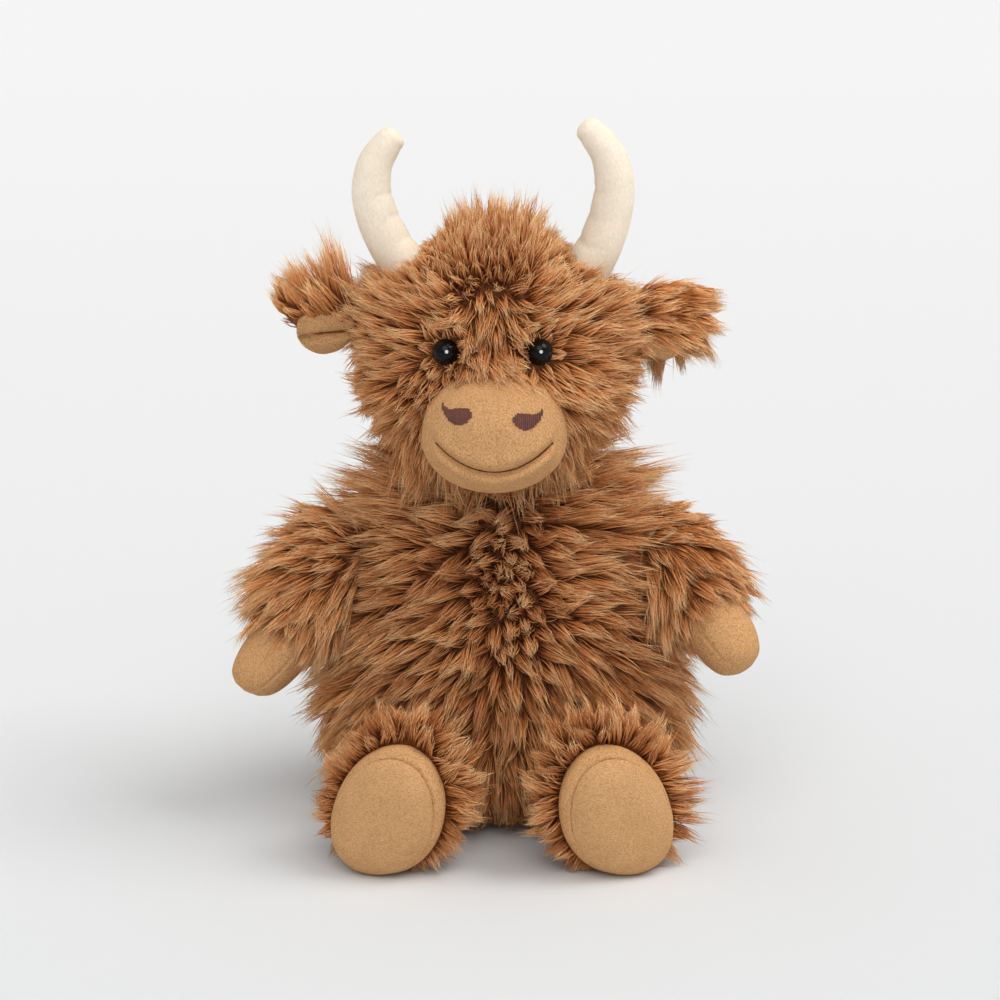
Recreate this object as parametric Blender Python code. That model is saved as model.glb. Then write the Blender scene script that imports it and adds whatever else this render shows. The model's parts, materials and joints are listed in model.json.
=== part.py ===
# A seated, long-haired plush cow: covers, stuffing, eyes, horns and limbs as separate solids.
# Metres, +Z up, the front faces -Y, the origin is the centre of the seat's flat underside.
# The furry solids end at the mean depth of the pile. Each joint is an empty that carries its pieces.

import bpy
from math import cos, pi, radians, sin, sqrt, tan
from mathutils import Matrix, Vector

# Clearances and cloth
GAP = 0.0003                # between pieces that touch
CORE_GAP = 0.0006           # between the body's cover and what fills it
PILE = 0.0095               # mean depth of the long pile, backing included
BACKING = 0.0015            # the cloth under the pile
PLUSH = 0.002               # thickness of the short tan plush
FLAT_DEPTH = 0.0005         # how far the floor flattens what stands on it
OVERRUN = 0.02              # how far a cutter runs past what it cuts

# Body
BODY_HEIGHT = 0.172
BODY_HALF_WIDTH = 0.080
BODY_HALF_DEPTH = 0.058
NECK_DOME_R = 0.045         # the ball end of the body, on which the head nods
NECK_HOLE_R = 0.018
POUCH_HEIGHT = 0.034
NECK_SINK = 0.020           # how far the neck's dome enters the head

# Head
HEAD_HALF_WIDTH = 0.064
HEAD_HALF_DEPTH = 0.058
HEAD_HALF_HEIGHT = 0.0575
HEAD_SHIFT = -0.004         # the head sits a little to one side
HEAD_FORWARD = 0.008

# Muzzle
MUZZLE_HALF_WIDTH = 0.0315
MUZZLE_HALF_HEIGHT = 0.0245
MUZZLE_DEPTH = 0.024
MUZZLE_FORWARD = 0.050
MUZZLE_DROP = 0.0235
NOSTRIL_LENGTH = 0.0128
NOSTRIL_HEIGHT = 0.0078
NOSTRIL_SPREAD = 0.0146
NOSTRIL_RISE = 0.0106
STITCH_R = 0.0007           # embroidery thread: the smile and the nostrils' thickness
SMILE_HALF_WIDTH = 0.0240
SMILE_DROP = 0.0126
SMILE_CURVE = 0.0110

# Eyes
EYE_R = 0.006
EYE_HEIGHT = 0.0062
EYE_SPREAD = 0.0192
EYE_RISE = 0.0098
EYE_CLEARANCE = 0.0006
EYE_YAW = radians(14)
SHANK_R = 0.0016
SHANK_LENGTH = 0.010
WASHER_R = 0.0070
WASHER_THICKNESS = 0.0012
WASHER_SEAT = 0.0034        # from the cloth's outer face to the washer

# Horns
HORN_BASE_R = 0.0102
HORN_TIP_R = 0.0056
HORN_REACH = 0.0520         # centre line to the head's middle, at its widest
HORN_RISE = {"left": 0.0592, "right": 0.0628}      # height of the horn above its base
HORN_SHIFT = 0.0020         # the pair sits a little to one side of the head's middle
HORN_LEAN = {"left": radians(3), "right": radians(-3)}

# Ears
EAR_LENGTH = 0.029
EAR_HALF_HEIGHT = 0.0185
EAR_HALF_THICKNESS = 0.0075
EAR_ROOT_R = 0.0030
EAR_SETTLE = 0.0010         # brings the root up to the head's flat facets
EAR_RISE = 0.013
EAR_TURN = radians(35)      # the lining looks forward and down
EAR_LIFT = radians(4)
LINING_SHIFT = 0.0060

# Arms
SHOULDER_HEIGHT = 0.126
SHOULDER_BACK = 0.002
SHOULDER_OUT = 0.0105       # centre of the arm's ball end, out from the cone that it turns on
ARM_LENGTH = 0.081
ARM_R = 0.0250
HAND_R = 0.0132
ARM_OUTWARD = {"left": radians(32), "right": radians(36)}
ARM_FORWARD = {"left": radians(24), "right": radians(38)}
FLANK_SLOPE = 0.42          # slope of the cone between arm and body
ROOT_WALL = 0.0030          # the sleeve's wall where it lies against the body

# Legs
HIP_SPREAD = 0.037
HIP_HEIGHT = 0.032
LEG_LENGTH = 0.042
LEG_HALF_WIDTH = 0.0350
LEG_HALF_HEIGHT = 0.0365
LEG_ROOT_R = 0.005
LEG_FLARE = radians(55)     # half the angle of the cone that widens from the root
FOOT_HALF_WIDTH = 0.0240
FOOT_HALF_HEIGHT = 0.0292
FOOT_TURN = radians(14)     # each leg points outward
SOLE_DOME = 0.0050

# Tail
TAIL_ROOT_HEIGHT = 0.050
TAIL_ROOT_R = 0.0036
TAIL_SETTLE = 0.0006        # brings the root up to the body's flat facets
TAIL_LENGTH = 0.026
TAIL_SPREAD = 0.011
TUFT_LENGTH = 0.021
TUFT_R = 0.0085

# Profiles, as shares of the sizes above
BODY_SHARES = (             # height, half width, half depth of the body under its dome
    (0.000, 0.42, 0.42), (0.022, 0.66, 0.68), (0.075, 0.84, 0.86), (0.16, 0.955, 0.965),
    (0.28, 1.0, 1.0), (0.42, 0.965, 0.975), (0.55, 0.885, 0.91), (0.67, 0.79, 0.83),
    (0.76, 0.70, 0.755), (0.83, 0.59, 0.69),
)
DOME_SHARES = (0.50, 0.60, 0.70, 0.80, 0.88)      # heights of the dome's rings, shares of its radius
ARM_SHARES = ((0.10, 0.90), (0.22, 0.98), (0.36, 1.0), (0.50, 0.97), (0.60, 0.90), (0.655, 0.76))
HAND_SHARES = ((0.57, 0.86), (0.70, 0.91), (0.82, 1.0), (0.90, 0.93), (0.96, 0.70), (0.99, 0.36))
LEG_SHARES = ((0.36, 0.82), (0.50, 0.95), (0.64, 1.0), (0.78, 0.98), (0.86, 0.92))
LEG_HOLLOW_SHARES = ((0.48, 0.80), (0.36, 0.62), (0.28, 0.38))
FOOT_SHARES = ((0.48, 0.78), (0.62, 0.84), (0.80, 0.94), (1.0, 1.0))
SOLE_SHARES = ((0.28, 0.955), (0.62, 0.78), (0.88, 0.48))
EAR_SHARES = ((0.04, 0.30), (0.17, 0.62), (0.36, 0.90), (0.55, 1.0), (0.74, 0.84), (0.89, 0.52), (0.97, 0.25))
EAR_THIN_SHARES = (0.56, 0.72, 0.95, 1.0, 0.9, 0.62, 0.32)
LINING_SPAN_SHARES = (0.10, 0.86)
LINING_SIZE_SHARES = (0.66, 0.62)
HORN_PATH_SHARES = (        # out from the base towards the reach, and up, of the horn's rise
    (-0.35, -0.16), (0.0, 0.0), (0.48, 0.18), (0.84, 0.38),
    (1.0, 0.58), (0.82, 0.78), (0.34, 0.92), (0.12, 0.965),
)
HORN_R_SHARES = (1.0, 0.98, 0.93, 0.88, 0.82, 0.70, 0.52, 0.38)
HORN_BASE_SHARES = (0.60, 0.62)
TUFT_SHARES = ((0.12, 0.62), (0.35, 1.0), (0.62, 0.86), (0.88, 0.42))
NOSTRIL_SHARES = (          # half moon with a notched top and a tail at the outer end
    (-0.50, 0.50), (-0.34, 0.16), (-0.12, 0.26), (0.12, 0.30), (0.36, 0.28), (0.50, 0.12),
    (0.46, -0.16), (0.30, -0.40), (0.06, -0.50), (-0.18, -0.42), (-0.38, -0.16), (-0.48, 0.16),
)
MUZZLE_RING_SHARES = (0.24, 0.46, 0.66, 0.82, 0.93, 0.985)
MUZZLE_TAPER_SHARE = 0.10
MUZZLE_POWER = 2.6

TUBE_POLE_SHARE = 0.45       # how far a tube's end bulges, of its radius
HOLE_MARGIN_SHARE = 1.1     # rings narrower than this much of a hole's radius are left out
STEP_SHARE = 0.01           # step for finding slopes, of a half width
EYE_BASE_SHARE = 0.98
NOSTRIL_RING_SHARES = (1.0, 0.55)
BALL_TURNS = (0.4, 0.8, 1.2)
EYE_TURNS = (0.35, 0.75, 1.15, pi / 2)
SHARP = radians(50)
SMILE_STEPS = 14
SMILE_SIDES = 6
TAIL_STEPS = 6
LINING_STEPS = 6
FACE_STEPS = 8

BODY_SIDES = 24
HEAD_SIDES = 20
LIMB_SIDES = 16
SMALL_SIDES = 12

COLOURS = {                 # 8-bit colour, roughness
    "long_pile": ((160, 105, 66), 0.95),
    "stuffing": ((232, 230, 224), 1.0),
    "pouch": ((214, 214, 208), 0.8),
    "tan_plush": ((197, 149, 101), 0.9),
    "cream_plush": ((239, 225, 203), 0.9),
    "embroidery": ((112, 76, 66), 0.6),
    "eye_black": ((14, 12, 12), 0.08),
    "washer": ((235, 235, 235), 0.4),
}


def clear_scene():
    for item in list(bpy.data.objects):
        bpy.data.objects.remove(item, do_unlink=True)


def material(name):
    """One Principled material for each finish, made on first use."""
    found = bpy.data.materials.get(name)
    if found:
        return found
    rgb, roughness = COLOURS[name]
    made = bpy.data.materials.new(name)
    made.use_nodes = True
    shader = made.node_tree.nodes["Principled BSDF"]
    linear = [((c / 255 + 0.055) / 1.055) ** 2.4 for c in rgb]
    shader.inputs["Base Color"].default_value = (*linear, 1.0)
    shader.inputs["Roughness"].default_value = roughness
    shader.inputs["Metallic"].default_value = 0.0
    return made


def add_object(name, verts, faces, finish=None, parent=None, place=None):
    """A mesh object in its parent's space; without a finish it is a cutter."""
    mesh = bpy.data.meshes.new(name)
    mesh.from_pydata([tuple(v) for v in verts], [], faces)
    mesh.validate()
    item = bpy.data.objects.new(name, mesh)
    bpy.context.scene.collection.objects.link(item)
    if finish:
        mesh.materials.append(material(finish))
        mesh.shade_smooth()
        mesh.set_sharp_from_angle(angle=SHARP)
    else:
        item.hide_render = True
        item.display_type = "WIRE"
    if parent:
        item.parent = parent
    if place is not None:
        item.matrix_local = place
    return item


def joint_empty(name, place, parent=None):
    item = bpy.data.objects.new(name, None)
    bpy.context.scene.collection.objects.link(item)
    if parent:
        item.parent = parent
    item.matrix_local = place
    return item


def cut(item, *cutters):
    """Takes each cutter's volume out of the object."""
    for cutter in cutters:
        step = item.modifiers.new("cut_" + cutter.name, "BOOLEAN")
        step.operation = "DIFFERENCE"
        step.solver = "EXACT"
        step.object = cutter


def loft(rings, sides, power=2.0, taper=0.0):
    """Joins rings (z, half x, half y, centre x, centre y) into one closed skin.

    A ring of no width is a pole. Rings may double back, which makes a wall round a hollow.
    """
    verts, faces, rows = [], [], []
    for z, half_x, half_y, centre_x, centre_y in rings:
        if half_x <= 0:
            rows.append([len(verts)])
            verts.append((centre_x, centre_y, z))
            continue
        row = []
        for k in range(sides):
            turn = 2 * pi * (k + 0.5) / sides
            c, s = cos(turn), sin(turn)
            y = abs(s) ** (2 / power) * (1 if s > 0 else -1)
            x = abs(c) ** (2 / power) * (1 if c > 0 else -1)
            row.append(len(verts))
            verts.append((centre_x + half_x * x * (1 - taper * y), centre_y + half_y * y, z))
        rows.append(row)
    for low, high in zip(rows, rows[1:]):
        for k in range(sides):
            n = (k + 1) % sides
            if len(low) == 1:
                faces.append((low[0], high[n], high[k]))
            elif len(high) == 1:
                faces.append((low[k], low[n], high[0]))
            else:
                faces.append((low[k], low[n], high[n], high[k]))
    return verts, faces


def turned(profile, sides):
    """A lathe shape about Z from (z, radius) pairs."""
    return loft([(z, r, r, 0, 0) for z, r in profile], sides)


def sweep(points, radii, sides):
    """A round tube through the points, closed by a pole at each end."""
    verts, faces, rows = [], [], []
    side_way = Vector((0, 1, 0))
    ends = [points[0] - points[1], points[-1] - points[-2]]
    for i, (point, radius) in enumerate(zip(points, radii)):
        before, after = points[max(i - 1, 0)], points[min(i + 1, len(points) - 1)]
        along = (after - before).normalized()
        u = (side_way - along * side_way.dot(along)).normalized()
        v = along.cross(u)
        row = []
        for k in range(sides):
            turn = 2 * pi * k / sides
            row.append(len(verts))
            verts.append(point + (u * cos(turn) + v * sin(turn)) * radius)
        rows.append(row)
    for low, high in zip(rows, rows[1:]):
        for k in range(sides):
            n = (k + 1) % sides
            faces.append((low[k], low[n], high[n], high[k]))
    for row, end, radius, flip in ((rows[0], ends[0], radii[0], True), (rows[-1], ends[1], radii[-1], False)):
        centre = sum((verts[k] for k in row), Vector()) / sides
        pole = len(verts)
        verts.append(centre + end.normalized() * radius * TUBE_POLE_SHARE)
        for k in range(sides):
            n = (k + 1) % sides
            faces.append((row[n], row[k], pole) if flip else (row[k], row[n], pole))
    return verts, faces


def ellipsoid(half, sides, grow=0.0):
    """Rings of an ellipsoid about Z."""
    count = sides // 2
    rings = []
    for k in range(count + 1):
        turn = pi * k / count
        width = sin(turn) if 0 < k < count else 0
        size = [h + grow for h in half]
        rings.append((-cos(turn) * size[2], width * size[0], width * size[1], 0, 0))
    return loft(rings, sides)


def ball_cutter(name, radius, sides, parent):
    """A ball whose flat faces still clear a turning ball of this radius."""
    clear = (radius + GAP) / cos(pi / sides) ** 2
    return add_object(name, *ellipsoid([clear] * 3, sides), None, parent)


# Body

def body_rings(inset):
    """The body's outer skin from the floor up to its dome, or the same skin one pile in."""
    width, depth = BODY_HALF_WIDTH - inset, BODY_HALF_DEPTH - inset
    height = BODY_HEIGHT - 2 * inset
    floor = inset if inset else -FLAT_DEPTH
    rings = [(floor, 0, 0, 0, 0)]
    for up, wide, deep in BODY_SHARES:
        rings.append((floor + up * height, wide * width, deep * depth, 0, 0))
    return rings


def dome_rings(inset, hole):
    """Rings of the neck's dome, up to the hole at its top."""
    radius = NECK_DOME_R - inset
    centre = BODY_HEIGHT - NECK_DOME_R
    rings = []
    for up in DOME_SHARES:
        width = radius * sqrt(1 - up * up)
        if width > hole * HOLE_MARGIN_SHARE:
            rings.append((centre + up * radius, width, width, 0, 0))
    rings.append((centre + sqrt(radius ** 2 - hole ** 2), hole, hole, 0, 0))
    return rings


def body_point(x, z):
    """Where the body's front skin lies at a place across and up."""
    rings = body_rings(0)[1:] + dome_rings(0, NECK_HOLE_R)
    for low, high in zip(rings, rings[1:]):
        if low[0] <= z <= high[0]:
            share = (z - low[0]) / (high[0] - low[0])
            width = low[1] + share * (high[1] - low[1])
            depth = low[2] + share * (high[2] - low[2])
            return -depth * sqrt(max(0, 1 - (x / width) ** 2))
    return 0


def off_body(x, z, front, away):
    """A point that stands off the body's front or back skin, along its normal."""
    step = BODY_HALF_WIDTH * STEP_SHARE
    side = 1 if front else -1
    point = Vector((x, side * body_point(x, z), z))
    across = Vector((2 * step, side * (body_point(x + step, z) - body_point(x - step, z)), 0))
    upward = Vector((0, side * (body_point(x, z + step) - body_point(x, z - step)), 2 * step))
    return point + across.cross(upward).normalized() * side * away


def make_body(floor_cutter):
    outer = body_rings(0) + dome_rings(0, NECK_HOLE_R)
    inner = body_rings(PILE) + dome_rings(PILE, NECK_HOLE_R)
    cover = add_object("body_cover", *loft(outer + inner[::-1], BODY_SIDES), "long_pile")
    cut(cover, floor_cutter)

    core = body_rings(PILE + CORE_GAP)
    top = dome_rings(PILE + CORE_GAP, NECK_HOLE_R - GAP)
    mouth = BODY_HEIGHT - NECK_DOME_R + sqrt(NECK_DOME_R ** 2 - NECK_HOLE_R ** 2)
    plug = [(mouth, NECK_HOLE_R - GAP, NECK_HOLE_R - GAP, 0, 0), (mouth, 0, 0, 0, 0)]
    split = PILE + POUCH_HEIGHT
    below = [ring for ring in core if ring[0] < split - GAP]
    above = [ring for ring in core if ring[0] > split + GAP]
    low, high = below[-1], above[0]
    share = (split - low[0]) / (high[0] - low[0])
    waist = [low[i] + share * (high[i] - low[i]) for i in (1, 2)]
    pouch_top = [(split, *waist, 0, 0), (split, 0, 0, 0, 0)]
    add_object("pellet_pouch", *loft(below + pouch_top, BODY_SIDES), "pouch")
    stuffing_base = [(split + GAP, 0, 0, 0, 0), (split + GAP, *waist, 0, 0)]
    add_object("body_stuffing", *loft(stuffing_base + above + top + plug, BODY_SIDES), "stuffing")
    return cover


# Muzzle, in a frame whose -Y looks out of the face

def muzzle_depth(x, z, grow=0.0):
    """The muzzle's front face at a place across and up."""
    half_height = MUZZLE_HALF_HEIGHT + grow
    half_width = (MUZZLE_HALF_WIDTH + grow) * (1 - MUZZLE_TAPER_SHARE * z / half_height)
    reach = (abs(x / half_width) ** MUZZLE_POWER + abs(z / half_height) ** MUZZLE_POWER) ** (2 / MUZZLE_POWER)
    return -(MUZZLE_DEPTH + grow) * sqrt(max(0, 1 - reach))


def muzzle_skin(grow):
    """The whole muzzle as a closed pillow, lofted along its front axis."""
    half = MUZZLE_DEPTH + grow
    rings = [(-half, 0, 0, 0, 0)]
    shares = MUZZLE_RING_SHARES
    for share in shares + (1.0,) + shares[::-1]:
        side = -1 if len(rings) <= len(shares) else 1
        rings.append((
            side * half * sqrt(1 - share ** 2),
            share * (MUZZLE_HALF_WIDTH + grow), share * (MUZZLE_HALF_HEIGHT + grow), 0, 0,
        ))
    rings.append((half, 0, 0, 0, 0))
    verts, faces = loft(rings, LIMB_SIDES + 4, MUZZLE_POWER)
    shaped = []
    for x, y, z in verts:
        shaped.append((x * (1 - MUZZLE_TAPER_SHARE * y / (MUZZLE_HALF_HEIGHT + grow)), z, y))
    return shaped, [face[::-1] for face in faces]


def on_muzzle(x, z, lift):
    """A point that stands off the muzzle's face by a small lift."""
    step = MUZZLE_HALF_WIDTH * STEP_SHARE
    point = Vector((x, muzzle_depth(x, z), z))
    across = Vector((2 * step, muzzle_depth(x + step, z) - muzzle_depth(x - step, z), 0))
    upward = Vector((0, muzzle_depth(x, z + step) - muzzle_depth(x, z - step), 2 * step))
    return point + across.cross(upward).normalized() * lift


def nostril(side):
    """An embroidered patch that follows the muzzle: two layers of rings round a centre."""
    centre = Vector((side * NOSTRIL_SPREAD, 0, NOSTRIL_RISE))
    layers = []
    verts, faces = [], []
    for lift in (GAP, GAP + 2 * STITCH_R):
        rows = []
        for share in NOSTRIL_RING_SHARES:
            row = []
            for x, z in NOSTRIL_SHARES:
                place = centre + Vector((side * -x * NOSTRIL_LENGTH, 0, z * NOSTRIL_HEIGHT)) * share
                row.append(len(verts))
                verts.append(on_muzzle(place.x, place.z, lift))
            rows.append(row)
        rows.append([len(verts)])
        verts.append(on_muzzle(centre.x, centre.z, lift))
        layers.append(rows)
    count = len(NOSTRIL_SHARES)
    for rows, flip in ((layers[0], False), (layers[1], True)):
        for k in range(count):
            n = (k + 1) % count
            quad = (rows[0][k], rows[0][n], rows[1][n], rows[1][k])
            fan = (rows[1][k], rows[1][n], rows[2][0])
            faces += [quad[::-1], fan[::-1]] if flip else [quad, fan]
    for k in range(count):
        n = (k + 1) % count
        faces.append((layers[0][0][k], layers[1][0][k], layers[1][0][n], layers[0][0][n]))
    if side > 0:
        faces = [face[::-1] for face in faces]
    return verts, faces


def smile():
    points = []
    for k in range(SMILE_STEPS + 1):
        across = 2 * k / SMILE_STEPS - 1
        lift = SMILE_CURVE * across ** 2
        points.append(on_muzzle(across * SMILE_HALF_WIDTH, lift - SMILE_DROP, STITCH_R + GAP))
    return sweep(points, [STITCH_R] * len(points), SMILE_SIDES)


# Head

def head_half(inset=0.0):
    return (HEAD_HALF_WIDTH - inset, HEAD_HALF_DEPTH - inset, HEAD_HALF_HEIGHT - inset)


def head_front(x, z, inset):
    """The front of the head's skin, one inset in, at a place across and up from its centre."""
    half = head_half(inset)
    return -half[1] * sqrt(1 - (x / half[0]) ** 2 - (z / half[2]) ** 2)


def eye_place(side):
    """The eye's seat on the cloth, with Z along its shank's outward way."""
    x, z = side * EYE_SPREAD, EYE_RISE
    y = head_front(x, z, PILE - BACKING)
    way = Vector((side * sin(EYE_YAW), -cos(EYE_YAW), 0))
    return Matrix.Translation((x, y, z)) @ way.to_track_quat("Z", "Y").to_matrix().to_4x4()


def make_eyes(head, cover_cutters, stuffing_cutters):
    fall = BACKING + WASHER_SEAT
    for name, side in (("left", -1), ("right", 1)):
        place = eye_place(side)
        dome = [(GAP + EYE_HEIGHT * cos(turn), EYE_R * sin(turn)) for turn in EYE_TURNS]
        shape = [(-SHANK_LENGTH, 0), (-SHANK_LENGTH, SHANK_R), (GAP, SHANK_R), (GAP, EYE_R * EYE_BASE_SHARE)]
        shape += dome[::-1] + [(GAP + EYE_HEIGHT, 0)]
        add_object("eye_" + name, *turned(shape, LIMB_SIDES), "eye_black", head, place)

        bore = SHANK_R + GAP
        under = -fall - WASHER_THICKNESS
        ring = [(under, bore), (under, WASHER_R), (-fall, WASHER_R), (-fall, bore)]
        verts, faces = turned(ring, LIMB_SIDES)
        last = len(ring) - 1
        for k in range(LIMB_SIDES):
            n = (k + 1) % LIMB_SIDES
            faces.append((last * LIMB_SIDES + k, last * LIMB_SIDES + n, n, k))
        add_object("eye_washer_" + name, verts, faces, "washer", head, place)

        pocket = EYE_R + EYE_CLEARANCE
        opening = [(-OVERRUN, 0), (-OVERRUN, bore), (0, bore), (0, pocket), (OVERRUN, pocket), (OVERRUN, 0)]
        cover_cutters.append(add_object("cut_eye_" + name, *turned(opening, LIMB_SIDES), None, head, place))
        deep = -SHANK_LENGTH - GAP
        seat = -fall - WASHER_THICKNESS - GAP
        wide = WASHER_R + GAP
        room = [(deep, 0), (deep, bore), (seat, bore), (seat, wide), (OVERRUN, wide), (OVERRUN, 0)]
        washer_room = add_object("cut_washer_" + name, *turned(room, LIMB_SIDES), None, head, place)
        stuffing_cutters.append(washer_room)


def horn_path(side):
    """Centre line of a horn from inside the pile to its rounded tip, seen from the head's centre."""
    base = Vector((HORN_BASE_SHARES[0] * HEAD_HALF_WIDTH, 0, HORN_BASE_SHARES[1] * HEAD_HALF_HEIGHT))
    points = []
    name = "left" if side < 0 else "right"
    lean = Matrix.Rotation(-HORN_LEAN[name], 3, "Y")
    for out, up in HORN_PATH_SHARES:
        step = Vector((out * (HORN_REACH - base.x), 0, up * HORN_RISE[name]))
        place = base + lean.inverted() @ step
        points.append(Vector((side * place.x + HORN_SHIFT, place.y, place.z)))
    return points


def make_horns(head, core_cutter, cover_cutters):
    for name, side in (("left", -1), ("right", 1)):
        points = horn_path(side)
        narrow = HORN_R_SHARES[-2]
        radii = [HORN_TIP_R + (share - narrow) / (1 - narrow) * (HORN_BASE_R - HORN_TIP_R)
                 for share in HORN_R_SHARES]
        horn = add_object("horn_" + name, *sweep(points, radii, SMALL_SIDES), "cream_plush", head)
        cut(horn, core_cutter)
        wide = [radius + GAP for radius in radii]
        cover_cutters.append(add_object("cut_horn_" + name, *sweep(points, wide, SMALL_SIDES), None, head))


def ear_rings(grow=0.0):
    rings = [(-EAR_ROOT_R - grow, 0, 0, 0, 0)]
    for (along, high), thick in zip(EAR_SHARES, EAR_THIN_SHARES):
        half_thick, half_high = thick * EAR_HALF_THICKNESS, high * EAR_HALF_HEIGHT
        rings.append((along * EAR_LENGTH, half_thick + grow, half_high + grow, 0, 0))
    rings.append((EAR_LENGTH + grow, 0, 0, 0, 0))
    return rings


def lining_rings(side, grow=0.0):
    first, last = (share * EAR_LENGTH for share in LINING_SPAN_SHARES)
    shift = -side * LINING_SHIFT      # onto the face that looks forward and down
    rings = [(first - grow, 0, 0, shift, 0)]
    half_thick = LINING_SIZE_SHARES[0] * EAR_HALF_THICKNESS
    half_high = LINING_SIZE_SHARES[1] * EAR_HALF_HEIGHT
    for k in range(1, LINING_STEPS):
        turn = pi * k / LINING_STEPS
        middle = (first + last) / 2
        rings.append((
            middle - cos(turn) * (last - first) / 2,
            half_thick * sin(turn) + grow, half_high * sin(turn) + grow, shift, 0,
        ))
    rings.append((last + grow, 0, 0, shift, 0))
    return rings


def make_ears(head):
    for name, side in (("left", -1), ("right", 1)):
        across = HEAD_HALF_WIDTH * sqrt(1 - (EAR_RISE / HEAD_HALF_HEIGHT) ** 2)
        normal = Vector((side * across / HEAD_HALF_WIDTH ** 2, 0, EAR_RISE / HEAD_HALF_HEIGHT ** 2))
        root = Vector((side * across, 0, EAR_RISE)) + normal.normalized() * (EAR_ROOT_R - EAR_SETTLE)
        way = Vector((side * cos(EAR_LIFT), 0, sin(EAR_LIFT)))
        turn = way.to_track_quat("Z", "Y").to_matrix().to_4x4()
        roll = Matrix.Rotation(side * EAR_TURN, 4, "Z")
        place = Matrix.Translation(root) @ turn @ roll
        hinge = joint_empty("ear_%s_hinge" % name, place, head)
        back = add_object("ear_back_" + name, *loft(ear_rings(), LIMB_SIDES), "long_pile", hinge)
        room = add_object("cut_lining_" + name, *loft(lining_rings(side, GAP), SMALL_SIDES), None, hinge)
        cut(back, room)
        add_object("ear_lining_" + name, *loft(lining_rings(side), SMALL_SIDES), "tan_plush", hinge)


def make_head():
    neck = joint_empty("neck_joint", Matrix.Translation((0, 0, BODY_HEIGHT - NECK_DOME_R)))
    rise = NECK_DOME_R - NECK_SINK + HEAD_HALF_HEIGHT
    head = joint_empty("head_centre", Matrix.Translation((HEAD_SHIFT, -HEAD_FORWARD, rise)), neck)
    dome = ball_cutter("cut_neck", NECK_DOME_R, BODY_SIDES, neck)
    core = add_object("cut_head_core", *ellipsoid(head_half(PILE), HEAD_SIDES, GAP), None, head)
    hollow = add_object("cut_head_hollow", *ellipsoid(head_half(PILE), HEAD_SIDES), None, head)

    muzzle_place = Matrix.Translation((0, -MUZZLE_FORWARD, -MUZZLE_DROP))
    muzzle = joint_empty("muzzle_centre", muzzle_place, head)
    face = add_object("cut_muzzle", *muzzle_skin(GAP), None, muzzle)
    muzzle_cover = add_object("muzzle_cover", *muzzle_skin(0), "tan_plush", muzzle)
    cut(muzzle_cover, add_object("cut_muzzle_hollow", *muzzle_skin(-PLUSH), None, muzzle), core)
    cut(add_object("muzzle_stuffing", *muzzle_skin(-PLUSH - GAP), "stuffing", muzzle), core)
    for name, side in (("left", -1), ("right", 1)):
        add_object("nostril_" + name, *nostril(side), "embroidery", muzzle)
    add_object("mouth_stitch", *smile(), "embroidery", muzzle)

    cover_cutters, stuffing_cutters = [hollow, dome, face], [dome]
    make_eyes(head, cover_cutters, stuffing_cutters)
    make_horns(head, core, cover_cutters)
    make_ears(head)
    cut(add_object("head_cover", *ellipsoid(head_half(), HEAD_SIDES), "long_pile", head), *cover_cutters)
    stuffing = add_object("head_stuffing", *ellipsoid(head_half(PILE), HEAD_SIDES, -GAP), "stuffing", head)
    cut(stuffing, *stuffing_cutters)


# Arms: the body stays inside a cone about each shoulder's axis, and the arm outside it

def flank_reach(body):
    """How far the cone's tip must stand out, so that the body stays inside it."""
    reach = 0
    for face in body.data.polygons:
        corners = [body.data.vertices[k].co for k in face.vertices]
        for start in corners:
            for end in corners:
                for k in range(FACE_STEPS):
                    x, y, z = start.lerp(end, k / FACE_STEPS)
                    away = sqrt((y - SHOULDER_BACK) ** 2 + (z - SHOULDER_HEIGHT) ** 2)
                    reach = max(reach, abs(x) - FLANK_SLOPE * away)
    return reach


def ball_end(centre, radius):
    """Rings of the rounded root of an arm, from its pole on."""
    return [(centre - radius, 0)] + [(centre - radius * cos(turn), radius * sin(turn)) for turn in BALL_TURNS]


def arm_skin(inset, until):
    """The sleeve's skin from its root, one inset in, as far along as a share of the arm."""
    root = ball_end(ARM_SHARES[0][0] * ARM_LENGTH, ARM_SHARES[0][1] * ARM_R - inset)
    return root + [(along * ARM_LENGTH, wide * ARM_R - inset) for along, wide in ARM_SHARES if along < until]


def hand_skin(inset):
    """The hand's skin from its cuff to its tip, one inset in."""
    shares = HAND_SHARES[:-1] if inset else HAND_SHARES
    return [(along * ARM_LENGTH, wide * HAND_R - inset) for along, wide in shares] + [(ARM_LENGTH - inset, 0)]


def flank_cone(name, side, tip):
    """The cone about the shoulder's axis, its tip at this distance from the middle."""
    far = ARM_LENGTH + ARM_R + OVERRUN
    cone = [(0, 0), (0, far), (tip + FLANK_SLOPE * far, far), (tip, 0)]
    lay = Matrix.Translation((0, SHOULDER_BACK, SHOULDER_HEIGHT)) @ Matrix.Rotation(side * pi / 2, 4, "Y")
    return add_object(name, *turned(cone, 2 * BODY_SIDES), None, None, lay)


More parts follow.
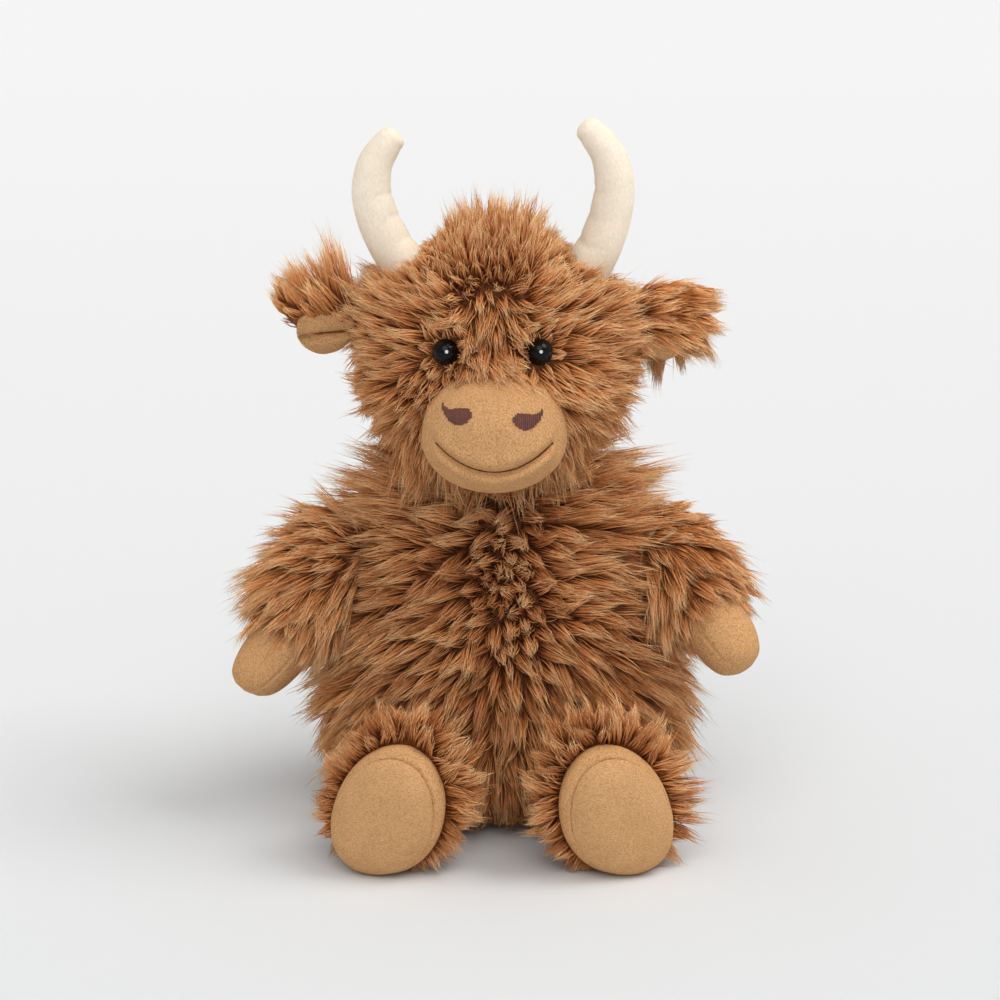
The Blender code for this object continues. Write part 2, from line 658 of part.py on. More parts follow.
def make_arm(name, side, reach):
    pivot = Vector((side * (reach + SHOULDER_OUT), SHOULDER_BACK, SHOULDER_HEIGHT))
    outward, forward = ARM_OUTWARD[name], ARM_FORWARD[name]
    way = Vector((side * sin(outward), -tan(forward), -cos(outward))).normalized()
    place = Matrix.Translation(pivot) @ way.to_track_quat("Z", "Y").to_matrix().to_4x4()
    shoulder = joint_empty("shoulder_%s_joint" % name, place)

    cuff = HAND_SHARES[0][0]
    cuff_z = cuff * ARM_LENGTH - GAP
    wrist = HAND_SHARES[1][1] * HAND_R + GAP
    outer = arm_skin(0, 1)
    edge = outer[-1][0]
    sleeve = add_object("arm_cover_" + name, *turned(outer + [(edge, 0)], LIMB_SIDES), "long_pile", shoulder)
    inner = arm_skin(PILE, cuff) + [(cuff_z, wrist), (cuff_z, 0)]
    hollow = add_object("cut_sleeve_" + name, *turned(inner, LIMB_SIDES), None, shoulder)
    passage = [(cuff_z - PLUSH, 0), (cuff_z - PLUSH, wrist), (edge + OVERRUN, wrist), (edge + OVERRUN, 0)]
    cuff_hole = add_object("cut_cuff_" + name, *turned(passage, LIMB_SIDES), None, shoulder)
    hand = hand_skin(PLUSH)[::-1] + hand_skin(0)
    add_object("hand_cover_" + name, *turned(hand, LIMB_SIDES), "tan_plush", shoulder)
    inside_hand = hand_skin(PLUSH + GAP)
    core = arm_skin(PILE + GAP, cuff) + [(cuff_z, inside_hand[0][1])] + inside_hand
    stuffing = add_object("arm_stuffing_" + name, *turned(core, LIMB_SIDES), "stuffing", shoulder)

    tip = reach + GAP
    cut(hollow, flank_cone("cut_wall_" + name, side, tip + ROOT_WALL))
    cut(sleeve, flank_cone("cut_flank_" + name, side, tip), hollow, cuff_hole)
    cut(stuffing, flank_cone("cut_core_" + name, side, tip + ROOT_WALL + GAP))


# Legs

def leg_skin(height, drop):
    """The sleeve's skin: a small ball, a cone that widens from it, then a swell that lies on the floor."""
    rings = [(-LEG_ROOT_R, 0, 0, 0, 0)]
    side = LEG_ROOT_R * cos(LEG_FLARE)
    rings.append((-LEG_ROOT_R * sin(LEG_FLARE), side, side, 0, 0))
    for along, wide in LEG_SHARES:
        axis_height = height - drop * along
        rise = max(0, wide * LEG_HALF_HEIGHT - FLAT_DEPTH - axis_height)
        rings.append((along * LEG_LENGTH, wide * LEG_HALF_WIDTH, wide * LEG_HALF_HEIGHT, 0, rise))
    return rings


def make_leg(name, side, floor_cutter):
    pivot = off_body(side * HIP_SPREAD, HIP_HEIGHT, True, LEG_ROOT_R + GAP)
    drop = pivot.z - (FOOT_HALF_HEIGHT - FLAT_DEPTH)
    flat = sqrt(LEG_LENGTH ** 2 - drop ** 2)
    way = Vector((side * sin(FOOT_TURN) * flat, -cos(FOOT_TURN) * flat, -drop))
    place = Matrix.Translation(pivot) @ way.to_track_quat("Z", "Y").to_matrix().to_4x4()
    hip = joint_empty("hip_%s_joint" % name, place)

    outer = leg_skin(pivot.z, drop)
    foot_x, foot_y = FOOT_HALF_WIDTH, FOOT_HALF_HEIGHT
    hollow = []
    edge = LEG_SHARES[-1][0]
    before, after = FOOT_SHARES[-2:]
    edge_wide = before[1] + (after[1] - before[1]) * (edge - before[0]) / (after[0] - before[0])
    for along, wide in ((edge, edge_wide),) + FOOT_SHARES[-2:0:-1] + LEG_HOLLOW_SHARES:
        hollow.append((along * LEG_LENGTH, wide * (foot_x + GAP), wide * (foot_y + GAP), 0, 0))
    hollow.append(((LEG_HOLLOW_SHARES[-1][0]) * LEG_LENGTH - GAP, 0, 0, 0, 0))
    sleeve = add_object("leg_cover_" + name, *loft(outer + hollow, LIMB_SIDES + 4), "long_pile", hip)

    band = [(along * LEG_LENGTH, wide * foot_x, wide * foot_y, 0, 0) for along, wide in FOOT_SHARES]
    inside = [(z, x - PLUSH, y - PLUSH, 0, 0) for z, x, y, _, _ in band[::-1]]
    verts, faces = loft(band + inside, LIMB_SIDES + 4)
    last = (len(band) + len(inside) - 1) * (LIMB_SIDES + 4)
    for k in range(LIMB_SIDES + 4):
        n = (k + 1) % (LIMB_SIDES + 4)
        faces.append((last + k, last + n, n, k))
    foot = add_object("foot_cover_" + name, verts, faces, "tan_plush", hip)

    base = LEG_LENGTH + GAP
    pad = [(base, 0, 0, 0, 0), (base, foot_x, foot_y, 0, 0), (base + PLUSH / 2, foot_x, foot_y, 0, 0)]
    for up, wide in SOLE_SHARES:
        pad.append((base + PLUSH / 2 + up * SOLE_DOME, wide * foot_x, wide * foot_y, 0, 0))
    pad.append((base + PLUSH / 2 + SOLE_DOME, 0, 0, 0, 0))
    sole = add_object("sole_pad_" + name, *loft(pad, LIMB_SIDES + 4), "tan_plush", hip)

    root = hollow[:0:-1]
    core = [(root[0][0] + GAP, 0, 0, 0, 0)] + [(z, x - GAP, y - GAP, 0, 0) for z, x, y, _, _ in root[1:]]
    start = FOOT_SHARES[0][0] * LEG_LENGTH
    core = [ring for ring in core if ring[0] < start]
    core += [(z, x - GAP, y - GAP, 0, 0) for z, x, y, _, _ in inside[::-1]]
    core.append((LEG_LENGTH, 0, 0, 0, 0))
    add_object("leg_stuffing_" + name, *loft(core, LIMB_SIDES + 4), "stuffing", hip)
    for item in (sleeve, foot, sole):
        cut(item, floor_cutter)


# Tail

def make_tail():
    out = TAIL_ROOT_R - TAIL_SETTLE
    root = joint_empty("tail_joint", Matrix.Translation(off_body(0, TAIL_ROOT_HEIGHT, False, out)))
    points = []
    for k in range(TAIL_STEPS + 1):
        share = k / TAIL_STEPS
        points.append(Vector((0, TAIL_SPREAD * sin(share * pi / 2), -TAIL_LENGTH * share)))
    add_object("tail_cord", *sweep(points, [TAIL_ROOT_R] * len(points), SMALL_SIDES), "tan_plush", root)
    end = points[-1] + Vector((0, 0, -TAIL_ROOT_R / 2 - GAP))
    rings = [(0, 0, 0, 0, 0)]
    rings += [(along * TUFT_LENGTH, wide * TUFT_R, wide * TUFT_R, 0, 0) for along, wide in TUFT_SHARES]
    rings.append((TUFT_LENGTH, 0, 0, 0, 0))
    place = Matrix.Translation(end) @ Matrix.Rotation(pi, 4, "X")
    add_object("tail_tuft", *loft(rings, SMALL_SIDES), "long_pile", root, place)


def make_floor_cutter():
    wide = 2 * (BODY_HALF_WIDTH + ARM_LENGTH)
    outline = ((-wide, -wide), (wide, -wide), (wide, wide), (-wide, wide))
    corners = [(x, y, z) for z in (-OVERRUN, 0) for x, y in outline]
    faces = [(3, 2, 1, 0), (4, 5, 6, 7), (0, 1, 5, 4), (1, 2, 6, 5), (2, 3, 7, 6), (3, 0, 4, 7)]
    return add_object("cut_floor", corners, faces)


def main():
    clear_scene()
    floor_cutter = make_floor_cutter()
    body = make_body(floor_cutter)
    make_head()
    reach = flank_reach(body)
    for name, side in (("left", -1), ("right", 1)):
        make_arm(name, side, reach)
        make_leg(name, side, floor_cutter)
    make_tail()


main()
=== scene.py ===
import json
from math import cos, pi, radians, sin, sqrt, tan

import bmesh
import bpy
import numpy as np
from mathutils import Matrix, Vector
from mathutils.bvhtree import BVHTree


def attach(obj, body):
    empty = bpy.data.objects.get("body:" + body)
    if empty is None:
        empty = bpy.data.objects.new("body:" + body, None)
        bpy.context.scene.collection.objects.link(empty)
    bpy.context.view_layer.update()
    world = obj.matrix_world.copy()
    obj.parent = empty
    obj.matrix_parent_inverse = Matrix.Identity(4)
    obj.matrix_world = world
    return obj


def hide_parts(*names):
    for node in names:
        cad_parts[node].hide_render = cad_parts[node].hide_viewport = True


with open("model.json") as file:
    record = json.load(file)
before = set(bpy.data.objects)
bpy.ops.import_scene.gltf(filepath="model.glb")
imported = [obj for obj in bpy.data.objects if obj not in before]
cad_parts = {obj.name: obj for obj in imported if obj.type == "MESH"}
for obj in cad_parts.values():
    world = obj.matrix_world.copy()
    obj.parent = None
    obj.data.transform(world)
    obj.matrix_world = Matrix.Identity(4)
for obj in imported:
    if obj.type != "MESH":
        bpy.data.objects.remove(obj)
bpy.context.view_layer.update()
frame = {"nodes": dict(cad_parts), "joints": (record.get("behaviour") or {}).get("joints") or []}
print("frame loaded:", len(frame["nodes"]), "nodes")

jointAt = {joint["name"]: Vector(joint["pos_m"]) for joint in frame["joints"] if "pos_m" in joint}
bothSides = {"left": -1, "right": 1}


view = {
    "target": (-0.0009, 0.0, 0.1406),
    "distance": 1.400,
    "elevation": radians(15),
    "lens": 114.5,
}
light = {
    "skyColour": (1.0, 0.985, 0.965),
    "skyStrength": 0.54,
    "keyStrength": 1.28, "keySoftness": radians(34),
    "keyFrom": (0.62, -0.12, 1.0),       # upper right
    "frontStrength": 1.054, "frontSoftness": radians(44),
    "frontFrom": (-0.05, -0.85, 1.0),
    "eyeGlint": 72.0, "glintSize": 0.76,
}
# painted light: the floor's colour runs from darker near the camera to paler far back, in place of the light's fall-off
floor = {
    "near": (0.724, 0.748, 0.767),
    "middle": (0.765, 0.775, 0.793),
    "far": (0.808, 0.817, 0.835),
    "nearY": -0.3,
    "farY": 2.6,
    "radius": 30.0,
}


def makeCamera():
    lens = bpy.data.cameras.new("photoView")
    lens.lens = view["lens"]
    lens.sensor_width = 36
    lens.clip_end = 50
    camera = bpy.data.objects.new("photoView", lens)
    bpy.context.scene.collection.objects.link(camera)
    target = Vector(view["target"])
    away = Vector((0, -cos(view["elevation"]), sin(view["elevation"]))) * view["distance"]
    camera.location = target + away
    camera.rotation_euler = (-away).to_track_quat("-Z", "Y").to_euler()
    bpy.context.scene.camera = camera


def makeLight():
    world = bpy.data.worlds.new("studio")
    world.use_nodes = True
    sky = world.node_tree.nodes["Background"]
    sky.inputs["Color"].default_value = (*light["skyColour"], 1)
    sky.inputs["Strength"].default_value = light["skyStrength"]
    bpy.context.scene.world = world
    for name in ("key", "front"):
        lamp = bpy.data.lights.new(name + "Lamp", "SUN")
        lamp.energy = light[name + "Strength"]
        lamp.angle = light[name + "Softness"]
        lamp.color = (1.0, 0.985, 0.96)
        sun = bpy.data.objects.new(name + "Lamp", lamp)
        bpy.context.scene.collection.objects.link(sun)
        sun.rotation_euler = Vector(light[name + "From"]).to_track_quat("Z", "Y").to_euler()
    glint = bpy.data.lights.new("eyeGlint", "AREA")      # seen only as a glint on shiny things
    glint.shape = "DISK"
    glint.size = light["glintSize"]
    glint.energy = light["eyeGlint"]
    flash = bpy.data.objects.new("eyeGlint", glint)
    bpy.context.scene.collection.objects.link(flash)
    flash.visible_diffuse = False
    flash.location = (0.28, -1.35, 0.62)
    flash.rotation_euler = (flash.location - Vector((0, -0.06, 0.22))).to_track_quat("Z", "Y").to_euler()
    bpy.context.scene.view_settings.view_transform = "Standard"


def makeFloor():
    count = 64
    verts = [(0, 0, 0)] + [(floor["radius"] * cos(2 * pi * k / count), floor["radius"] * sin(2 * pi * k / count), 0)
                           for k in range(count)]
    faces = [(0, 1 + k, 1 + (k + 1) % count) for k in range(count)]
    ground = makePiece("floor", verts, faces, floorMaterial())


def makePiece(name, verts, faces, material=None):
    mesh = bpy.data.meshes.new(name)
    mesh.from_pydata([tuple(v) for v in verts], [], [tuple(f) for f in faces])
    mesh.update()
    mesh.shade_smooth()
    if material:
        mesh.materials.append(material)
    piece = bpy.data.objects.new(name, mesh)
    bpy.context.scene.collection.objects.link(piece)
    return piece


def dress(piece, rider, node):      # the piece rides on a body and stands for a node of the solids
    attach(piece, rider)
    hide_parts(node)


def curveThrough(points, count):      # points is a list of tuples; a smooth run of count samples through them
    p = np.array(points, float)
    padded = np.vstack([2 * p[0] - p[1], p, 2 * p[-1] - p[-2]])
    out = []
    for t in np.linspace(0, len(p) - 1, count):
        k = min(int(t), len(p) - 2)
        f = t - k
        a, b, c, d = padded[k], padded[k + 1], padded[k + 2], padded[k + 3]
        out.append(0.5 * (2 * b + (c - a) * f + (2 * a - 5 * b + 4 * c - d) * f ** 2
                          + (3 * b - a - 3 * c + d) * f ** 3))
    return np.array(out)


def ringFaces(around, rows):      # the faces between rings of points, with a fan at each pole
    faces = []
    top = 1 + (rows - 1) * around
    for k in range(around):
        n = (k + 1) % around
        faces.append((0, 1 + n, 1 + k))
        for low in range(1, top, around):
            faces.append((low + k, low + n, low + around + n, low + around + k))
        faces.append((top + k, top + n, top + around))
    return faces


# rings are (z, halfX, halfY, centreX, centreY); the two ends close in a pole
def loftRings(rings, around, power=2.0):
    turn = 2 * pi * np.arange(around) / around
    c, s = np.cos(turn), np.sin(turn)
    cx, sy = np.sign(c) * np.abs(c) ** (2 / power), np.sign(s) * np.abs(s) ** (2 / power)
    verts = [(rings[0][3], rings[0][4], rings[0][0])]
    for z, halfX, halfY, midX, midY in rings[1:-1]:
        verts += list(zip(midX + halfX * cx, midY + halfY * sy, np.full(around, z)))
    verts.append((rings[-1][3], rings[-1][4], rings[-1][0]))
    return np.array(verts, float), ringFaces(around, len(rings) - 2)


def ballOf(half, centre, around, rows):      # an ellipsoid whose poles lie on the Z axis
    rings = []
    for k in range(rows + 1):
        turn = pi * k / rows
        rings.append((-cos(turn) * half[2], sin(turn) * half[0], sin(turn) * half[1], 0, 0))
    verts, faces = loftRings(rings, around)
    return verts + np.array(centre), faces


def smoothStep(low, high, x):
    t = np.clip((x - low) / (high - low), 0, 1)
    return t * t * (3 - 2 * t)


def unit(v):
    return v / np.maximum(np.linalg.norm(v, axis=-1, keepdims=True), 1e-9)


def closed(start, rings, end):      # a loft's rings between its two poles
    return [(start, 0, 0, 0, 0)] + rings + [(end, 0, 0, 0, 0)]


def ways(x, y, z):      # one way for each point, from arrays and plain numbers
    return np.stack(np.broadcast_arrays(x, y, z), -1)


def bell(x, width):      # 1 at zero, falling off on both sides
    return np.exp(-(x / width) ** 2)


def placed(verts, matrix):
    v = np.asarray(verts, float)
    m = np.array(matrix)
    return v @ m[:3, :3].T + m[:3, 3]


def axisFrame(origin, way, up=(0, 0, 1)):      # local Z runs along the way, local Y as near up as it can
    z = Vector(way).normalized()
    x = Vector(up).cross(z).normalized()
    y = z.cross(x)
    m = Matrix((x, y, z)).transposed().to_4x4()
    m.translation = Vector(origin)
    return m


def tubeAlong(points, radii, around, squash=1.0):      # a closed round tube; points and radii are arrays
    p = np.asarray(points, float)
    rows, verts = len(p), []
    side = np.array((0.0, 1.0, 0.0))
    for k in range(rows):
        along = p[min(k + 1, rows - 1)] - p[max(k - 1, 0)]
        along /= np.linalg.norm(along)
        u = side - along * (side @ along)
        u /= np.linalg.norm(u)
        v = np.cross(along, u)
        for turn in 2 * pi * np.arange(around) / around:
            verts.append(p[k] + (u * cos(turn) * squash + v * sin(turn)) * radii[k])
    faces = []
    for r in range(rows - 1):
        for k in range(around):
            low, high, n = r * around, (r + 1) * around, (k + 1) % around
            faces.append((low + k, low + n, high + n, high + k))
    faces.append(tuple(range(around))[::-1])
    faces.append(tuple(range((rows - 1) * around, rows * around)))
    return np.array(verts), faces


clothRun = {
    "scale": 12.0,              # the run is done this much larger, where the solver suits cloth
    "quality": 5, "mass": 0.01, "stretch": 1.2, "shear": 0.6, "bending": 0.1,
    "pressure": 4.0, "frames": 20,
    "evenings": 12,             # rounds that even out small wrinkles of the run
}


# the cloth of a padded piece is blown up between its seams: pinned points stay, others move up to the cap
def swollen(verts, faces, pinned, cap):
    piece = makePiece("clothRun", verts * clothRun["scale"], faces)
    seams = piece.vertex_groups.new(name="seams")
    seams.add([int(k) for k in np.where(pinned)[0]], 1.0, "REPLACE")
    step = piece.modifiers.new("cloth", "CLOTH")
    cloth = step.settings
    cloth.quality = clothRun["quality"]
    cloth.mass = clothRun["mass"]
    cloth.tension_stiffness = cloth.compression_stiffness = clothRun["stretch"]
    cloth.shear_stiffness = clothRun["shear"]
    cloth.bending_stiffness = clothRun["bending"]
    cloth.use_pressure = True
    cloth.uniform_pressure_force = clothRun["pressure"]
    cloth.effector_weights.gravity = 0
    cloth.vertex_group_mass = "seams"
    scene = bpy.context.scene
    for number in range(1, clothRun["frames"] + 1):
        scene.frame_set(number)
    shown = piece.evaluated_get(bpy.context.evaluated_depsgraph_get()).to_mesh()
    moved = np.empty(len(verts) * 3, np.float32)
    shown.vertices.foreach_get("co", moved)
    moved = moved.reshape(-1, 3) / clothRun["scale"] - verts
    edges = np.array([(face[k - 1], face[k]) for face in faces for k in range(len(face))])
    ends = np.concatenate([edges, edges[:, ::-1]])
    neighbours = np.bincount(ends[:, 0], minlength=len(verts))[:, None]
    for _ in range(clothRun["evenings"]):
        around = np.zeros_like(moved)
        np.add.at(around, ends[:, 0], moved[ends[:, 1]])
        moved = np.where(pinned[:, None], moved, (moved + around / np.maximum(neighbours, 1)) / 2)
    size = np.linalg.norm(moved, axis=1, keepdims=True)
    bpy.data.objects.remove(piece, do_unlink=True)
    scene.frame_set(1)
    print("cloth moved", round(float(size.max()) * 1000, 2), "mm, kept to", cap * 1000)
    return verts + moved * np.minimum(1, cap / np.maximum(size, 1e-9))


def newMaterial(name, roughness):
    material = bpy.data.materials.new(name)
    material.use_nodes = True
    nodes, links = material.node_tree.nodes, material.node_tree.links
    shader = nodes["Principled BSDF"]
    shader.inputs["Roughness"].default_value = roughness
    return material, nodes, links, shader


def linear(r, g, b):      # 8-bit colour to linear
    return tuple(((c / 255 + 0.055) / 1.055) ** 2.4 if c > 10 else c / 255 / 12.92 for c in (r, g, b)) + (1.0,)


def ramp(nodes, stops):
    node = nodes.new("ShaderNodeValToRGB")
    elements = node.color_ramp.elements
    elements[0].position, elements[0].color = stops[0]
    elements[1].position, elements[1].color = stops[-1]
    for position, colour in stops[1:-1]:
        made = elements.new(position)
        made.color = colour
    return node


def mixColour(nodes, blend, factor):
    node = nodes.new("ShaderNodeMix")
    node.data_type = "RGBA"
    node.blend_type = blend
    node.inputs["Factor"].default_value = factor
    return node


def napGroup():      # short pile: strokes that lie one way, as a mask and a height
    group = bpy.data.node_groups.new("shortNap", "ShaderNodeTree")
    face = group.interface
    face.new_socket("Vector", in_out="INPUT", socket_type="NodeSocketVector")
    for name, value in (("Stroke", 900.0), ("Patch", 90.0), ("Stretch", 0.35)):
        face.new_socket(name, in_out="INPUT", socket_type="NodeSocketFloat").default_value = value
    face.new_socket("Strokes", in_out="OUTPUT", socket_type="NodeSocketFloat")
    face.new_socket("Patches", in_out="OUTPUT", socket_type="NodeSocketFloat")
    nodes, links = group.nodes, group.links
    source, out = nodes.new("NodeGroupInput"), nodes.new("NodeGroupOutput")
    squeeze = nodes.new("ShaderNodeCombineXYZ")
    squeeze.inputs[0].default_value = squeeze.inputs[1].default_value = 1
    links.new(source.outputs["Stretch"], squeeze.inputs[2])
    scaled = nodes.new("ShaderNodeVectorMath")
    scaled.operation = "MULTIPLY"
    links.new(source.outputs["Vector"], scaled.inputs[0])
    links.new(squeeze.outputs[0], scaled.inputs[1])
    for size, detail, vector, output in (("Stroke", 3.0, scaled.outputs[0], "Strokes"),
                                         ("Patch", 2.0, source.outputs["Vector"], "Patches")):
        noise = nodes.new("ShaderNodeTexNoise")
        noise.inputs["Detail"].default_value = detail
        noise.inputs["Distortion"].default_value = 0.3
        links.new(vector, noise.inputs["Vector"])
        links.new(source.outputs[size], noise.inputs["Scale"])
        links.new(noise.outputs["Fac"], out.inputs[output])
    return group


nap = napGroup()


def plushMaterial(name, dark, plain, pale, stroke, stretch, bump):
    material, nodes, links, shader = newMaterial(name, 0.85)
    shader.inputs["Specular IOR Level"].default_value = 0.05
    shader.inputs["Sheen Weight"].default_value = 0.08
    shader.inputs["Sheen Roughness"].default_value = 0.6
    shader.inputs["Sheen Tint"].default_value = pale
    place = nodes.new("ShaderNodeTexCoord")
    piled = nodes.new("ShaderNodeGroup")
    piled.node_tree = nap
    piled.inputs["Stroke"].default_value = stroke
    piled.inputs["Stretch"].default_value = stretch
    links.new(place.outputs["Object"], piled.inputs["Vector"])
    strokes = ramp(nodes, [(0.34, dark), (0.50, plain), (0.66, pale)])
    links.new(piled.outputs["Strokes"], strokes.inputs["Fac"])
    patches = ramp(nodes, [(0.35, (0.965, 0.96, 0.95, 1)), (0.65, (1.02, 1.02, 1.02, 1))])
    links.new(piled.outputs["Patches"], patches.inputs["Fac"])
    tinted = mixColour(nodes, "MULTIPLY", 1.0)
    links.new(strokes.outputs["Color"], tinted.inputs["A"])
    links.new(patches.outputs["Color"], tinted.inputs["B"])
    links.new(tinted.outputs["Result"], shader.inputs["Base Color"])
    raised = nodes.new("ShaderNodeBump")
    raised.inputs["Strength"].default_value = 0.8
    raised.inputs["Distance"].default_value = bump
    links.new(piled.outputs["Strokes"], raised.inputs["Height"])
    links.new(raised.outputs["Normal"], shader.inputs["Normal"])
    return material


def furMaterial(name, colours):      # the map's U is the strand's own tone, its V runs from root to tip
    material, nodes, links, shader = newMaterial(name, 0.75)
    shader.inputs["Specular IOR Level"].default_value = 0.06
    mapNode = nodes.new("ShaderNodeUVMap")
    mapNode.uv_map = "OFBake"
    split = nodes.new("ShaderNodeSeparateXYZ")
    links.new(mapNode.outputs["UV"], split.inputs[0])
    golden = ramp(nodes, [(0.0, colours["root"]), (0.20, colours["root"]), (0.52, colours["middle"]),
                          (0.90, colours["tip"]), (1.0, colours["end"])])
    links.new(split.outputs["Y"], golden.inputs["Fac"])
    reddish = ramp(nodes, [(0.0, colours["root"]), (0.24, colours["root"]), (0.62, colours["warm"]),
                           (0.94, colours["middle"]), (1.0, colours["end"])])
    links.new(split.outputs["Y"], reddish.inputs["Fac"])
    choose = ramp(nodes, [(0.25, (0, 0, 0, 1)), (0.60, (1, 1, 1, 1))])
    links.new(split.outputs["X"], choose.inputs["Fac"])
    both = mixColour(nodes, "MIX", 0.5)
    links.new(choose.outputs["Color"], both.inputs["Factor"])
    links.new(reddish.outputs["Color"], both.inputs["A"])
    links.new(golden.outputs["Color"], both.inputs["B"])
    tone = ramp(nodes, [(0.0, (0.60, 0.58, 0.56, 1)), (0.5, (0.96, 0.96, 0.96, 1)), (1.0, (1.12, 1.12, 1.12, 1))])
    links.new(split.outputs["X"], tone.inputs["Fac"])
    tinted = mixColour(nodes, "MULTIPLY", 1.0)
    links.new(both.outputs["Result"], tinted.inputs["A"])
    links.new(tone.outputs["Color"], tinted.inputs["B"])
    links.new(tinted.outputs["Result"], shader.inputs["Base Color"])
    return material


def floorMaterial():
    material, nodes, links, shader = newMaterial("floorPaper", 0.9)
    shader.inputs["Specular IOR Level"].default_value = 0.0
    place = nodes.new("ShaderNodeTexCoord")
    split = nodes.new("ShaderNodeSeparateXYZ")
    links.new(place.outputs["Object"], split.inputs[0])
    span = nodes.new("ShaderNodeMapRange")
    span.inputs["From Min"].default_value = floor["nearY"]
    span.inputs["From Max"].default_value = floor["farY"]
    links.new(split.outputs["Y"], span.inputs["Value"])
    # painted light: darker near the camera, paler far back
    shade = ramp(nodes, [(0.0, (*floor["near"], 1)), (0.30, (*floor["middle"], 1)), (1.0, (*floor["far"], 1))])
    links.new(span.outputs["Result"], shade.inputs["Fac"])
    links.new(shade.outputs["Color"], shader.inputs["Base Color"])
    return material


def plainPatterned(name, low, high, scale, roughness, bump=0.0001):
    material, nodes, links, shader = newMaterial(name, roughness)
    shader.inputs["Specular IOR Level"].default_value = 0.06
    place = nodes.new("ShaderNodeTexCoord")
    noise = nodes.new("ShaderNodeTexNoise")
    noise.inputs["Scale"].default_value = scale
    noise.inputs["Detail"].default_value = 4
    links.new(place.outputs["Object"], noise.inputs["Vector"])
    shade = ramp(nodes, [(0.35, low), (0.65, high)])
    links.new(noise.outputs["Fac"], shade.inputs["Fac"])
    links.new(shade.outputs["Color"], shader.inputs["Base Color"])
    raised = nodes.new("ShaderNodeBump")
    raised.inputs["Distance"].default_value = bump
    links.new(noise.outputs["Fac"], raised.inputs["Height"])
    links.new(raised.outputs["Normal"], shader.inputs["Normal"])
    return material


furColours = {
    "root": linear(182, 112, 60),
    "middle": linear(234, 164, 102),
    "tip": linear(252, 212, 160),
    "end": linear(196, 154, 114),
    "warm": linear(222, 140, 80),
}
longFur = furMaterial("longFur", furColours)
furCloth = plainPatterned("furBacking", linear(112, 66, 36), linear(136, 82, 46), 420, 0.95)
tanPlush = plushMaterial("tanPlush", linear(177, 129, 82), linear(204, 156, 107), linear(215, 168, 119),
                         1700.0, 0.70, 0.0004)
tanSole = plushMaterial("tanSole", linear(190, 142, 94), linear(208, 161, 112), linear(219, 173, 125),
                        1150.0, 1.9, 0.0008)
creamPlush = plushMaterial("creamPlush", linear(241, 227, 206), linear(247, 234, 215), linear(251, 240, 223),
                           1500.0, 0.4, 0.00018)
threadBrown = plainPatterned("threadBrown", linear(98, 62, 56), linear(122, 80, 72), 1500, 0.8)
threadDark = plainPatterned("threadDark", linear(88, 52, 24), linear(112, 70, 34), 1500, 0.9)
eyeBlack = plainPatterned("eyeBlack", linear(8, 7, 7), linear(15, 14, 14), 120, 0.05, 0.0)
eyeBlack.node_tree.nodes["Principled BSDF"].inputs["Specular IOR Level"].default_value = 0.16
fibreFill = plainPatterned("fibreFill", linear(220, 218, 212), linear(240, 238, 232), 300, 1.0)
pelletCloth = plainPatterned("pelletCloth", linear(200, 200, 194), linear(222, 222, 216), 500, 0.8)
washerPlastic = plainPatterned("washerPlastic", linear(226, 226, 226), linear(240, 240, 240), 200, 0.4)


fur = {
    "lockSpacing": 0.0058,
    "density": 640000.0,        # strands in a square metre
    "strandRadius": 0.00027,
    "clump": 0.90,
    "stray": 0.07,
    "bow": 5.5,                 # how far a strand bows out, in radii
    "point": 0.66,              # how much shorter the hairs at a lock's rim are
    "ground": 0.0012,           # hairs lower than this lie flat on the floor
    "ownLayers": ("comb", "lift", "reach", "cover", "tint", "tone", "along", "lockTip", "lockRoot", "lockTone"),
}


def strandShape():      # one tapered hair along Z, three-sided, with its way from root to tip kept as an attribute
    rings = [(0.0, 1.0), (0.36, 0.95), (0.72, 0.62)]
    verts, faces, along = [], [], []
    for t, radius in rings:
        for k in range(3):
            turn = 2 * pi * k / 3
            verts.append((radius * cos(turn) + fur["bow"] * 4 * t * (1 - t), radius * sin(turn), t))
            along.append(t)
    verts.append((0, 0, 1))
    along.append(1.0)
    faces.append((0, 2, 1))
    for r in range(2):
        for k in range(3):
            n = (k + 1) % 3
            faces.append((3 * r + k, 3 * r + n, 3 * r + 3 + n, 3 * r + 3 + k))
    for k in range(3):
        faces.append((6 + k, 6 + (k + 1) % 3, 9))
    strand = makePiece("strandShape", verts, faces)
    values = strand.data.attributes.new("along", "FLOAT", "POINT")
    values.data.foreach_set("value", along)
    return strand


